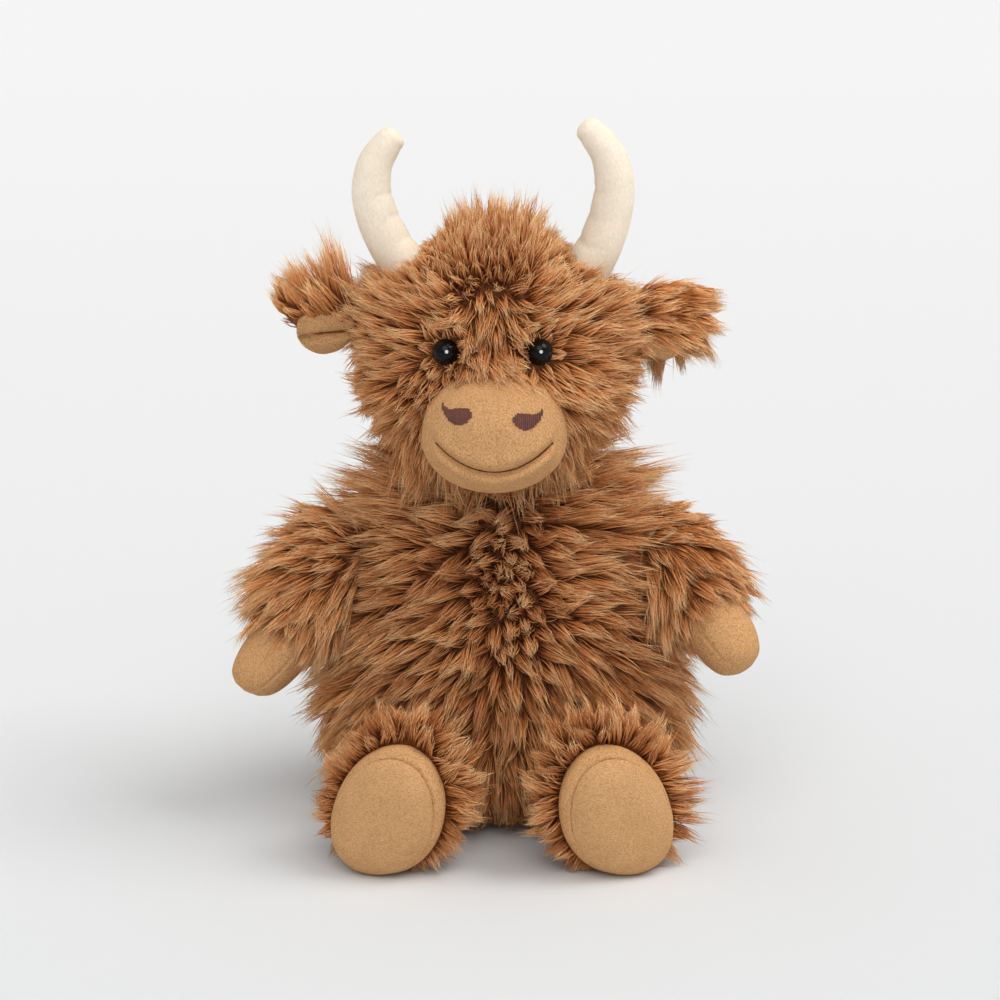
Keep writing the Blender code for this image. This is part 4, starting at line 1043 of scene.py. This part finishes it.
def makeThreads(name, chains, radius, material):      # chains are lists of points
    verts, edges = [], []
    for chain in chains:
        first = len(verts)
        verts += [tuple(p) for p in chain]
        edges += [(first + k, first + k + 1) for k in range(len(chain) - 1)]
    mesh = bpy.data.meshes.new(name + "Wire")
    mesh.from_pydata(verts, edges, [])
    wire = bpy.data.objects.new(name + "Wire", mesh)
    bpy.context.scene.collection.objects.link(wire)
    made = bakeTree(wire, threads, {"Thread Radius": radius, "Material": material}, name)
    made.data.shade_smooth()
    bpy.data.objects.remove(wire, do_unlink=True)
    return made


nostril = {
    "spread": {"left": 0.0154, "right": 0.0139}, "rise": {"left": 0.0116, "right": 0.0098},
    "length": 0.0121, "height": 0.0086, "threads": 15, "threadRadius": 0.00050,
    "top": [(-0.50, 0.40), (-0.45, 0.32), (-0.38, 0.21), (-0.26, 0.16), (-0.10, 0.20), (0.12, 0.27), (0.32, 0.30),
            (0.45, 0.22), (0.50, 0.10)],
    "bottom": [(-0.50, 0.20), (-0.47, 0.02), (-0.38, -0.18), (-0.24, -0.36), (-0.06, -0.48), (0.14, -0.48),
               (0.32, -0.36), (0.44, -0.18), (0.50, -0.06)],
}


def makeNostrils():
    top, bottom = np.array(nostril["top"]), np.array(nostril["bottom"])
    for name, side in bothSides.items():
        chains = []
        rng = np.random.default_rng(31 + side)
        for across in np.linspace(-0.48, 0.48, nostril["threads"]):
            high = np.interp(across, top[:, 0], top[:, 1])
            low = np.interp(across, bottom[:, 0], bottom[:, 1])
            if high - low < 0.03:
                continue
            high, low = high + rng.uniform(-0.02, 0.03), low + rng.uniform(-0.03, 0.02)      # uneven stitch ends
            heights = np.linspace(low, high, 8) * nostril["height"] + nostril["rise"][name]
            x = np.full(8, side * (nostril["spread"][name] - across * nostril["length"]))
            chains.append(onMuzzle(x, heights, 0.0003 * np.sin(np.linspace(0, pi, 8)) - 0.0001))
        piece = makeThreads("nostril_" + name + "_stitches", chains, nostril["threadRadius"], threadBrown)
        dress(piece, "head", "nostril_" + name)


def makeSmile():
    x = np.linspace(-smile["halfWidth"], smile["halfWidth"], 60)
    piece = makeThreads("smile_stitches", [onMuzzle(x, smileHeight(x), 0.00002)], smile["threadRadius"], threadDark)
    dress(piece, "head", "mouth_stitch")


def makeEyes():
    for name, side in bothSides.items():
        place, way = eyePlace(side)
        profile = [(-0.003, 0.0), (-0.003, 0.0030), (-0.0006, 0.0052)]
        for turn in np.linspace(pi / 2, 0.02, 18):
            profile.append((eyes["depth"] * cos(turn), eyes["radius"] * sin(turn)))
        profile.append((eyes["depth"], 0))
        verts, faces = loftRings([(z, r, r, 0, 0) for z, r in profile], 48)
        piece = makePiece("eye_%s_dome" % name, placed(verts, axisFrame(place, way)), faces, eyeBlack)
        dress(piece, "head", "eye_" + name)
    print("eyes done")


def makeHorns():
    for name, side in bothSides.items():
        rows, around = 64, 40
        path = curveThrough([tuple(p) for p in hornPoints(name)], rows)
        last = horns["radii"][-1]
        spread = (horns["baseRadius"] - horns["tipRadius"]) / (1 - last)
        radii = curveThrough([(horns["tipRadius"] + (r - last) * spread,) for r in horns["radii"]], rows)[:, 0]
        tip, end = path[-1], radii[-1]
        along = path[-1] - path[-2]
        along /= np.linalg.norm(along)
        for turn in np.linspace(0, pi / 2, 9)[1:]:      # the rounded end
            path = np.vstack([path, tip + along * end * 0.62 * sin(turn)])
            radii = np.append(radii, max(0.0002, end * cos(turn)))
        verts, faces = tubeAlong(path, radii, around)
        ring = np.repeat(np.arange(len(path)) / rows, around)
        turn = np.tile(2 * pi * np.arange(around) / around, len(path))
        inner = 0.5 + 0.5 * np.cos(turn - pi * (1 - 0.5 * side))
        shift = np.zeros(len(verts))
        rng = np.random.default_rng(horns["seed"][name])
        for at in horns["creases"]:      # where the stuffing bends
            crease = bell(ring - at - 0.02 * np.sin(turn * 2), 0.018)
            shift -= horns["creaseDepth"] * crease * inner * rng.uniform(0.6, 1.2)
        verts = verts + unit(verts - np.repeat(path, around, axis=0)) * shift[:, None]
        verts = swollen(verts, faces, (ring < 0.10) | (ring > 0.97), horns["swell"])
        piece = makePiece("horn_%s_plush" % name, verts, faces, creamPlush)
        dress(piece, "head", "horn_" + name)
    print("horns done")


ears = {
    "turn": {"left": radians(27), "right": radians(10)}, "lift": radians(4),
    "skin": [                   # along, middle, half height, half thickness
        (-0.0070, 0.0000, 0.0075, 0.0034), (0.0000, 0.0008, 0.0105, 0.0044), (0.0080, 0.0016, 0.0120, 0.0048),
        (0.0150, 0.0026, 0.0115, 0.0046), (0.0210, 0.0042, 0.0082, 0.0038), (0.0252, 0.0056, 0.0042, 0.0024)],
    "lining": [                 # along, lower edge, upper edge
        (-0.0050, -0.0070, 0.0060), (0.0000, -0.0140, 0.0076), (0.0060, -0.0176, 0.0082), (0.0110, -0.0178, 0.0076),
        (0.0160, -0.0150, 0.0056), (0.0190, -0.0108, 0.0024), (0.0200, -0.0070, -0.0030)],
    "liningTop": {"left": 0.0010, "right": -0.0034}, "liningLow": {"left": 0.0014, "right": 0.0004},
    "standOff": 0.0034, "puff": 0.0034, "fold": 0.0046,
    "temple": {"left": (-0.72, -0.20, 0.80), "right": (1.0, -0.15, 0.30)},
    "cheekTrim": {"left": 0.80, "right": 0.15},
    "bare": {"left": 0.0036, "right": -0.0066},      # the lining's side has no fur below this height
    "atRoot": {"left": (-0.45, -0.12, 1.0), "right": (1.0, -0.15, 0.20)},
    "atTip": {"left": (-0.8, -0.12, 1.0), "right": (1.0, -0.15, -0.06)},
    "frontLow": {"left": (-0.9, -0.12, 0.62), "right": (1.0, -0.40, -0.34)}, "frontShare": {"left": 0.66, "right": 1.0},
    "backLow": {"left": (-0.3, 0.6, -0.8), "right": (0.12, 0.10, -1.0)},
    "reach": {"left": 0.0335, "right": 0.0205}, "tipShare": {"left": 0.46, "right": 0.80},
    "backShare": {"left": 0.35, "right": 1.40}, "backCover": {"left": 0.0, "right": 3.4},
    "rootCover": {"left": 0.6, "right": 0.45},
    "style": {"density": 2.4, "spacing": 0.80, "radius": 0.84, "clump": 0.97, "stray": 1.2},
}


def makeEars():
    for name, side in bothSides.items():
        pivot = jointAt["ear_%s_flap" % name[0]]
        way = Vector((side * cos(ears["lift"]), 0, sin(ears["lift"])))
        place = Matrix.Translation(pivot) @ way.to_track_quat("Z", "Y").to_matrix().to_4x4()
        place = place @ Matrix.Rotation(side * ears["turn"][name], 4, "Z")
        rows = curveThrough(ears["skin"], 28)
        rings = [(rows[0][0] - 0.0025, 0, 0, 0, 0)]
        rings += [(along, thick, half, 0, middle) for along, middle, half, thick in rows]
        rings.append((rows[-1][0] + 0.0014, 0, 0, 0, rows[-1][1]))
        local, faces = loftRings(rings, 40)
        verts = placed(local, place)
        skin = makePiece("ear_%s_skin" % name, verts, faces, furCloth)
        dress(skin, "ear_" + name[0], "ear_back_" + name)

        # the tan lining is a leaf with a fold, on the face that looks forward and down
        spans = curveThrough(ears["lining"], 27)
        across = 22
        leaf = []
        for layer in (0, 1):
            for k, (along, low, top) in enumerate(spans):
                t = k / (len(spans) - 1)
                for c in range(across + 1):
                    s = -cos(pi * c / across)
                    under, over = low + ears["liningLow"][name], top + ears["liningTop"][name]
                    up = (under + over) / 2 + s * (over - under) / 2
                    edge = sqrt(max(0.0, 1 - s * s)) * (1 - (2 * max(t, 0.5) - 1) ** 2) ** 0.5
                    crease = bell(up + 0.0012 + 0.0082 * t, 0.0015) * smoothStep(0.90, 0.70, t)
                    if layer == 0:
                        out = ears["standOff"] + ears["puff"] * edge - ears["fold"] * crease * edge
                    else:
                        out = ears["standOff"] - 0.0016 * edge - 0.3 * ears["fold"] * crease * edge
                    leaf.append((-side * out, up, along))
        count = len(spans) * (across + 1)
        leafFaces = []
        for r in range(len(spans) - 1):
            for c in range(across):
                a = r * (across + 1) + c
                b, d, e = a + 1, a + across + 1, a + across + 2
                leafFaces.append((a, b, e, d))
                leafFaces.append((count + a, count + d, count + e, count + b))
        last = len(spans) - 1
        rim = list(range(across + 1)) + [r * (across + 1) + across for r in range(1, last + 1)]
        rim += [last * (across + 1) + c for c in range(across - 1, -1, -1)]
        rim += [r * (across + 1) for r in range(last - 1, 0, -1)]
        for k in range(len(rim)):
            a, b = rim[k], rim[(k + 1) % len(rim)]
            leafFaces.append((b, a, count + a, count + b))
        lining = makePiece("ear_%s_lining" % name, placed(leaf, place), leafFaces, tanPlush)
        tidyNormals(lining)
        dress(lining, "ear_" + name[0], "ear_lining_" + name)

        normals = faceNormals(verts, faces)
        turnBack = np.array(place.to_3x3().inverted())
        lookIn = -side * (normals @ turnBack.T)[:, 0]        # 1 on the lining's side
        up, outer = local[:, 1], np.clip(local[:, 2] / 0.022, 0, 1)
        root, tip = (np.array(ears[key][name]) for key in ("atRoot", "atTip"))
        hair = unit(root + (tip - root) * outer[:, None])
        low = smoothStep(0.004, -0.007, up)
        lowFront = low * smoothStep(-0.2, 0.4, lookIn)
        hair = bend(hair, ears["frontLow"][name], lowFront)
        back = low * smoothStep(0.2, -0.4, lookIn)
        hair = bend(hair, ears["backLow"][name], back)
        cover = np.where((lookIn > 0.10) & (up < ears["bare"][name]), 0.0, 1.0)
        reach = ears["reach"][name] * (1 - (1 - ears["tipShare"][name]) * outer)
        reach = reach * (1 - (1 - ears["backShare"][name]) * back)
        facing = smoothStep(0.012, 0.001, up) * smoothStep(-0.6, 0.2, lookIn)
        reach = reach * (1 - (1 - ears["frontShare"][name]) * facing)
        cover = cover * (1 + ears["backCover"][name] * back)
        cover = cover * np.where(local[:, 2] < 0.0015, ears["rootCover"][name], 1.0)
        # painted shade: the tint darkens the hair that hangs at the back below the ear; the paler hair towards the tip
        # is its golden colour
        lie = (*aimed(hair, normals, 0.12), reach, cover, 0.44 + 0.16 * outer - 0.60 * back)
        growFur("earFur_" + name, verts, faces, np.arange(len(faces)), lie, "ear_" + name[0], **ears["style"])
    print("ears done")


def tidyNormals(piece):
    work = bmesh.new()
    work.from_mesh(piece.data)
    bmesh.ops.remove_doubles(work, verts=work.verts, dist=1e-6)
    bmesh.ops.recalc_face_normals(work, faces=work.faces)
    work.to_mesh(piece.data)
    work.free()
    piece.data.shade_smooth()


arms = {
    "length": 0.081, "radius": 0.0250, "pile": 0.008, "handRadius": 0.0141,
    "outward": {"left": radians(32), "right": radians(36)}, "forward": {"left": radians(24), "right": radians(38)},
    "sleeve": [(0.10, 0.90), (0.22, 0.98), (0.36, 1.0), (0.50, 0.97), (0.60, 0.90), (0.655, 0.83)],
    "hand": [(0.57, 1.00), (0.70, 1.02), (0.80, 0.98), (0.88, 0.89), (0.945, 0.72), (0.985, 0.42)],
    "fill": [(0.12, 0.30), (0.22, 0.50), (0.40, 0.56), (0.52, 0.48), (0.62, 0.43), (0.74, 0.43), (0.84, 0.42),
             (0.92, 0.32), (0.965, 0.12)],
    "reach": 0.0265, "spread": {"left": 1.40, "right": 0.60}, "lift": {"left": 0.42, "right": 0.34},
    "shoulderTrim": {"left": 0.12, "right": 0.40}, "shoulderRise": {"left": 0.12, "right": 0.0},
    "cuffTrim": {"left": 0.32, "right": 0.50}, "elbowGrow": {"left": 0.22, "right": 0.02},
    # painted light: the tint lightens the arms' fur, the left arm more
    "trim": {"left": 0.0, "right": 0.26}, "tint": {"left": 0.24, "right": 0.06},
    "style": {"density": 1.6, "spacing": 0.80, "radius": 0.88, "clump": 1.0, "stray": 1.3},
    "handShift": {"left": (0.0012, 0, -0.0012), "right": (-0.0016, 0, 0.0034)},
    "handTurn": {"left": -0.0060, "right": 0.0},
}


def turnHand(points, local, name):      # the hand turns off the arm's line, more towards its tip
    points[:, 0] += arms["handTurn"][name] * np.clip(local[:, 2] / arms["length"] - 0.60, 0, 1) / 0.40
    return points


def makeArms():
    for name, side in bothSides.items():
        who = "arm_" + name[0]
        pivot = jointAt[who + "_swing"]
        outward, forward = arms["outward"][name], arms["forward"][name]
        way = Vector((side * sin(outward), -tan(forward), -cos(outward))).normalized()
        place = axisFrame(pivot, way, (0, -1, 0.2))
        long = arms["length"]
        ball = arms["sleeve"][0][1] * arms["radius"] - arms["pile"]
        start = arms["sleeve"][0][0] * long
        rings = [(start - ball, 0, 0, 0, 0)]
        for turn in np.linspace(0, pi / 2, 10)[1:-1]:
            rings.append((start - ball * cos(turn), ball * sin(turn), ball * sin(turn), 0, 0))
        for along, wide in curveThrough(arms["sleeve"], 26):
            half = wide * arms["radius"] - arms["pile"]
            rings.append((along * long, half, half, 0, 0))
        rings.append((0.60 * long, 0, 0, 0, 0))
        local, faces = loftRings(rings, 48)
        verts = placed(local, place)
        skin = makePiece("arm_%s_skin" % name, verts, faces, furCloth)
        dress(skin, who, "arm_cover_" + name)

        normals = faceNormals(verts, faces)
        share = local[:, 2] / long
        count = len(verts)
        outX = np.tile((float(side), 0.0, 0.1), (count, 1))
        axis = np.tile(np.array(way), (count, 1))
        top = smoothStep(0.62, 0.08, share)
        inner = smoothStep(0.1, 0.8, -side * normals[:, 0]) * smoothStep(0.4, -0.1, normals[:, 1])
        crest = smoothStep(0.25, 0.0, share)
        comb = axis * (1 - 0.8 * crest)[:, None] + (0, -0.15, -1.3) * inner[:, None]
        comb = flatten(comb + outX * (arms["spread"][name] * (0.15 + 0.85 * top) + 0.3 * crest)[:, None], normals)
        lift = arms["lift"][name] * (1 - 0.25 * top) + 0.05 * inner
        shoulder = smoothStep(0.30, 0.05, share) * smoothStep(-0.3, 0.4, normals[:, 2])
        hair = bend(standing(comb, lift, normals), (side, -0.15, arms["shoulderRise"][name]), 0.95 * shoulder)
        reach = arms["reach"] * (1 - 0.10 * smoothStep(0.5, 0.1, share) + 0.12 * inner)
        reach = reach * (1 - arms["shoulderTrim"][name] * shoulder)
        elbow = bell(share - 0.28, 0.13) * smoothStep(0.0, 0.6, side * normals[:, 0])
        reach = reach * (1 - arms["cuffTrim"][name] * smoothStep(0.40, 0.60, share))
        reach = reach * (1 + arms["elbowGrow"][name] * elbow)
        reach = reach * (1 - arms["trim"][name] * smoothStep(0.2, 0.9, side * normals[:, 0]) * (1 - top))
        cover = np.where(local[:, 2] > 0.655 * long - 0.0004, 0.4, 1.0) * smoothStep(0.056, 0.064, side * verts[:, 0])
        # painted light: the arm's tint lightens its fur
        lie = (*aimed(hair, normals), reach, cover, arms["tint"][name])
        centres = faceCentres(local, faces)
        closing = (centres[:, 2] > 0.60 * long) & (np.hypot(centres[:, 0], centres[:, 1]) < 0.011)
        keep = np.where((centres[:, 2] < 0.66 * long) & ~closing)[0]
        half = np.arctan2(centres[:, 1], centres[:, 0]) > 0
        for part, chosen in (("a", keep[half[keep]]), ("b", keep[~half[keep]])):
            growFur("armFur_%s_%s" % (name, part), verts, faces, chosen, lie, who, **arms["style"])

        rings = [(0.575 * long, 0, 0, 0, 0)]
        for along, wide in curveThrough(arms["hand"], 30):
            rings.append((along * long, wide * arms["handRadius"], wide * arms["handRadius"] * 0.94, 0, 0))
        rings.append((long, 0, 0, 0, 0))
        local, faces = loftRings(rings, 120)
        turn = np.arctan2(local[:, 1], local[:, 0])
        seam = bell(turn - (pi / 2 + 0.55 * side), 0.045) * smoothStep(0.70, 0.80, local[:, 2] / long)
        local[:, :2] *= (1 - 0.060 * seam)[:, None]
        local = swollen(local, faces, local[:, 2] < 0.62 * long, 0.0010)
        hand = turnHand(placed(local, place) + np.array(arms["handShift"][name]), local, name)
        hand = makePiece("hand_%s_plush" % name, hand, faces, tanPlush)
        dress(hand, who, "hand_cover_" + name)

        rings = [(0.09 * long, 0, 0, 0, 0)]
        for along, wide in curveThrough(arms["fill"], 24):
            rings.append((along * long, wide * arms["radius"], wide * arms["radius"] * 0.95, 0, 0))
        rings.append((0.972 * long, 0, 0, 0, 0))
        local, faces = loftRings(rings, 32)
        bent = smoothStep(0.52, 0.66, local[:, 2] / long)
        fill = turnHand(placed(local, place) + np.outer(bent, arms["handShift"][name]), local, name)
        fill = makePiece("arm_%s_fill" % name, fill, faces, fibreFill)
        dress(fill, who, "arm_stuffing_" + name)
    print("arms done")


legs = {
    "length": 0.042, "halfWidth": 0.0240, "halfHeight": 0.0292, "turn": radians(14),
    "narrow": 0.10, "slant": 0.0056, "soleShift": 0.0010,
    "skin": [                    # along, half width, lower edge, upper edge
        (0.00, 0.006, -0.006, 0.006), (0.18, 0.013, -0.012, 0.012), (0.36, 0.021, -0.021, 0.022),
        (0.50, 0.0253, -0.0245, 0.0300), (0.62, 0.0266, -0.0262, 0.0336), (0.72, 0.0256, -0.0272, 0.0322),
        (0.79, 0.0226, -0.0272, 0.0276)],
    "reach": 0.0175, "outer": {"left": -0.34, "right": 0.04},
    "fill": [                    # along, half width, half height
        (0.06, 0.004, 0.004), (0.30, 0.013, 0.013), (0.50, 0.0190, 0.0200), (0.70, 0.0205, 0.0240),
        (0.90, 0.0212, 0.0258), (0.975, 0.0190, 0.0235)],
    "band": [                    # along, share of the half width and height
        (0.66, 0.80), (0.74, 0.93), (0.83, 0.985), (0.90, 1.0), (0.955, 0.985), (0.985, 0.945), (1.000, 0.90),
        (1.002, 0.87)],
    "sole": [                    # height over the band, share of the half width and height
        (0.0, 0.880), (0.0004, 0.902), (0.0014, 0.902), (0.0030, 0.85), (0.0047, 0.70), (0.0058, 0.50),
        (0.0064, 0.30), (0.0067, 0.12)],
    "style": {"density": 1.8, "spacing": 0.72, "radius": 0.84, "clump": 0.90, "stray": 1.7},
}


def makeLegs():
    for name, side in bothSides.items():
        who = "leg_" + name[0]
        pivot = jointAt[who + "_swing"]
        long = legs["length"]
        drop = pivot.z - (legs["halfHeight"] - 0.0005)
        flat = sqrt(long ** 2 - drop ** 2)
        way = Vector((side * sin(legs["turn"]) * flat, -cos(legs["turn"]) * flat, -drop))
        place = axisFrame(pivot, way)

        def egg(points, share=1.0):      # narrower at the top, and leaning outwards at the bottom
            rise = points[:, 1] / legs["halfHeight"] * share
            points[:, 0] = points[:, 0] * (1 - legs["narrow"] * rise) - side * legs["slant"] * rise
            points[:, 1] *= np.where(rise > 0, 1.03, 1.0)
            return points

        rings = [(-0.003, 0, 0, 0, 0)]
        for along, wide, low, high in curveThrough(legs["skin"], 28):
            rings.append((along * long, wide, (high - low) / 2, 0, (high + low) / 2))
        rings.append((0.74 * long, 0, 0, 0, 0))
        local, faces = loftRings(rings, 56)
        centres = faceCentres(local, faces)
        verts = placed(egg(local, smoothStep(0.25, 0.66, local[:, 2] / long)), place)
        verts[:, 2] = np.maximum(verts[:, 2], 0.0008)
        skin = makePiece("leg_%s_skin" % name, verts, faces, furCloth)
        dress(skin, who, "leg_cover_" + name)

        normals = faceNormals(verts, faces)
        share = local[:, 2] / long
        back = np.tile(-np.array(way.normalized()), (len(verts), 1))
        facing = smoothStep(0.1, 0.8, normals @ np.array(way.normalized()))
        around = verts - np.array(pivot) - np.outer(local[:, 2], np.array(way.normalized()))
        comb = flatten(back + (0, 0, 0.25), normals)
        rim = smoothStep(0.48, 0.74, share)
        hair = standing(comb, np.full(len(verts), 0.62), normals)
        astray = np.random.default_rng(12 + side).normal(0, 0.20, hair.shape)
        hair = bend(hair, unit(around) + 0.40 * np.array(way.normalized()), rim) + astray
        outside = smoothStep(0.2, 0.9, side * normals[:, 0])
        under = smoothStep(0.35, 0.9, -normals[:, 2])
        reach = legs["reach"] * (1.0 + 0.08 * rim + legs["outer"][name] * outside) * (1 - 0.40 * under)
        cover = np.where(share > 0.12, 1.0, 0.3) * (1 - 0.3 * under) * (1 + 0.5 * facing)
        lie = (*aimed(hair, normals), reach, cover, 0.0)
        radius = np.hypot(centres[:, 0] / 0.0245, centres[:, 1] / 0.0288)
        keep = np.where((centres[:, 2] < 0.80 * long) & ~((centres[:, 2] > 0.735 * long) & (radius < 0.88)))[0]
        growFur("legFur_" + name, verts, faces, keep, lie, who, **legs["style"])

        def outline(points):
            return [(z, wide * legs["halfWidth"], wide * legs["halfHeight"], 0, 0) for z, wide in points]

        band = [(along * long, wide) for along, wide in curveThrough(legs["band"], 26)]
        rings = outline([(band[0][0], 0.0)] + band + [(band[-1][0] - 0.0010, 0.0)])
        local, faces = loftRings(rings, 72, 2.08)
        foot = placed(egg(local), place)
        foot = swollen(foot, faces, (local[:, 2] < 0.72 * long) | (local[:, 2] > 0.998 * long), 0.0008)
        foot[:, 2] = np.maximum(foot[:, 2], 0.0)
        foot = makePiece("foot_%s_band" % name, foot, faces, tanPlush)
        dress(foot, who, "foot_cover_" + name)

        sole = [(long + up, wide) for up, wide in curveThrough(legs["sole"], 30)]
        rings = outline([(long, 0.0)] + sole + [(long + 0.0068, 0.0)])
        local, faces = loftRings(rings, 72, 2.08)
        pad = placed(egg(local) + (side * legs["soleShift"], -legs["soleShift"], 0), place)
        pad = swollen(pad, faces, local[:, 2] < long + 0.0008, 0.0012)
        pad[:, 2] = np.maximum(pad[:, 2], 0.0)
        pad = makePiece("sole_%s_plush" % name, pad, faces, tanSole)
        dress(pad, who, "sole_pad_" + name)

        rings = [(0.03 * long, 0, 0, 0, 0)]
        rings += [(along * long, wide, high, 0, 0) for along, wide, high in curveThrough(legs["fill"], 22)]
        rings.append((0.985 * long, 0, 0, 0, 0))
        local, faces = loftRings(rings, 40)
        fill = placed(egg(local), place)
        fill[:, 2] = np.maximum(fill[:, 2], 0.0015)
        fill = makePiece("leg_%s_fill" % name, fill, faces, fibreFill)
        dress(fill, who, "leg_stuffing_" + name)
    print("legs done")


tail = {"radius": 0.0036, "spread": 0.011, "length": 0.026, "reach": 0.0150, "density": 2.2, "spacing": 0.6}


def makeTail():
    root = np.array(jointAt["tail_lift"])
    share = np.linspace(0, 1, 24)
    path = root + np.stack([np.zeros(24), tail["spread"] * np.sin(share * pi / 2), -tail["length"] * share], -1)
    verts, faces = tubeAlong(path, np.full(24, tail["radius"]) * np.where(share < 0.02, 0.7, 1.0), 20)
    cord = makePiece("tail_plush", verts, faces, tanPlush)
    dress(cord, "tail", "tail_cord")
    end = path[-1] + np.array((0, 0, 0.002))
    rings = [(-0.0005, 0, 0, 0, 0)]
    for along, wide in curveThrough([(0.02, 0.50), (0.20, 0.75), (0.5, 0.70), (0.8, 0.40)], 14):
        rings.append((along * 0.016, wide * 0.006, wide * 0.006, 0, 0))
    rings.append((0.0150, 0, 0, 0, 0))
    local, faces = loftRings(rings, 20)
    place = axisFrame(end, (0, 0.1, -1), (0, 1, 0))
    verts = placed(local, place)
    core = makePiece("tail_core", verts, faces, furCloth)
    dress(core, "tail", "tail_tuft")
    normals = faceNormals(verts, faces)
    comb = flatten(np.tile((0.0, 0.05, -1.0), (len(verts), 1)), normals)
    lie = (comb, 0.40, tail["reach"], 1.0, 0.0)
    growFur("tailFur", verts, faces, np.arange(len(faces)), lie, "tail", tail["density"], tail["spacing"])
    print("tail done")


def dressInside():
    finishes = {"stuffing": fibreFill, "pellet_pouch": pelletCloth, "washer": washerPlastic}
    for name, item in frame["nodes"].items():
        for word, material in finishes.items():
            if word in name:
                for place in item.material_slots:
                    place.material = material


makeCamera()
makeLight()
makeFloor()
makeBody()
makeHead()
makeMuzzle()
makeEyes()
makeHorns()
makeEars()
makeArms()
makeLegs()
makeTail()
dressInside()
bpy.data.objects.remove(strand, do_unlink=True)
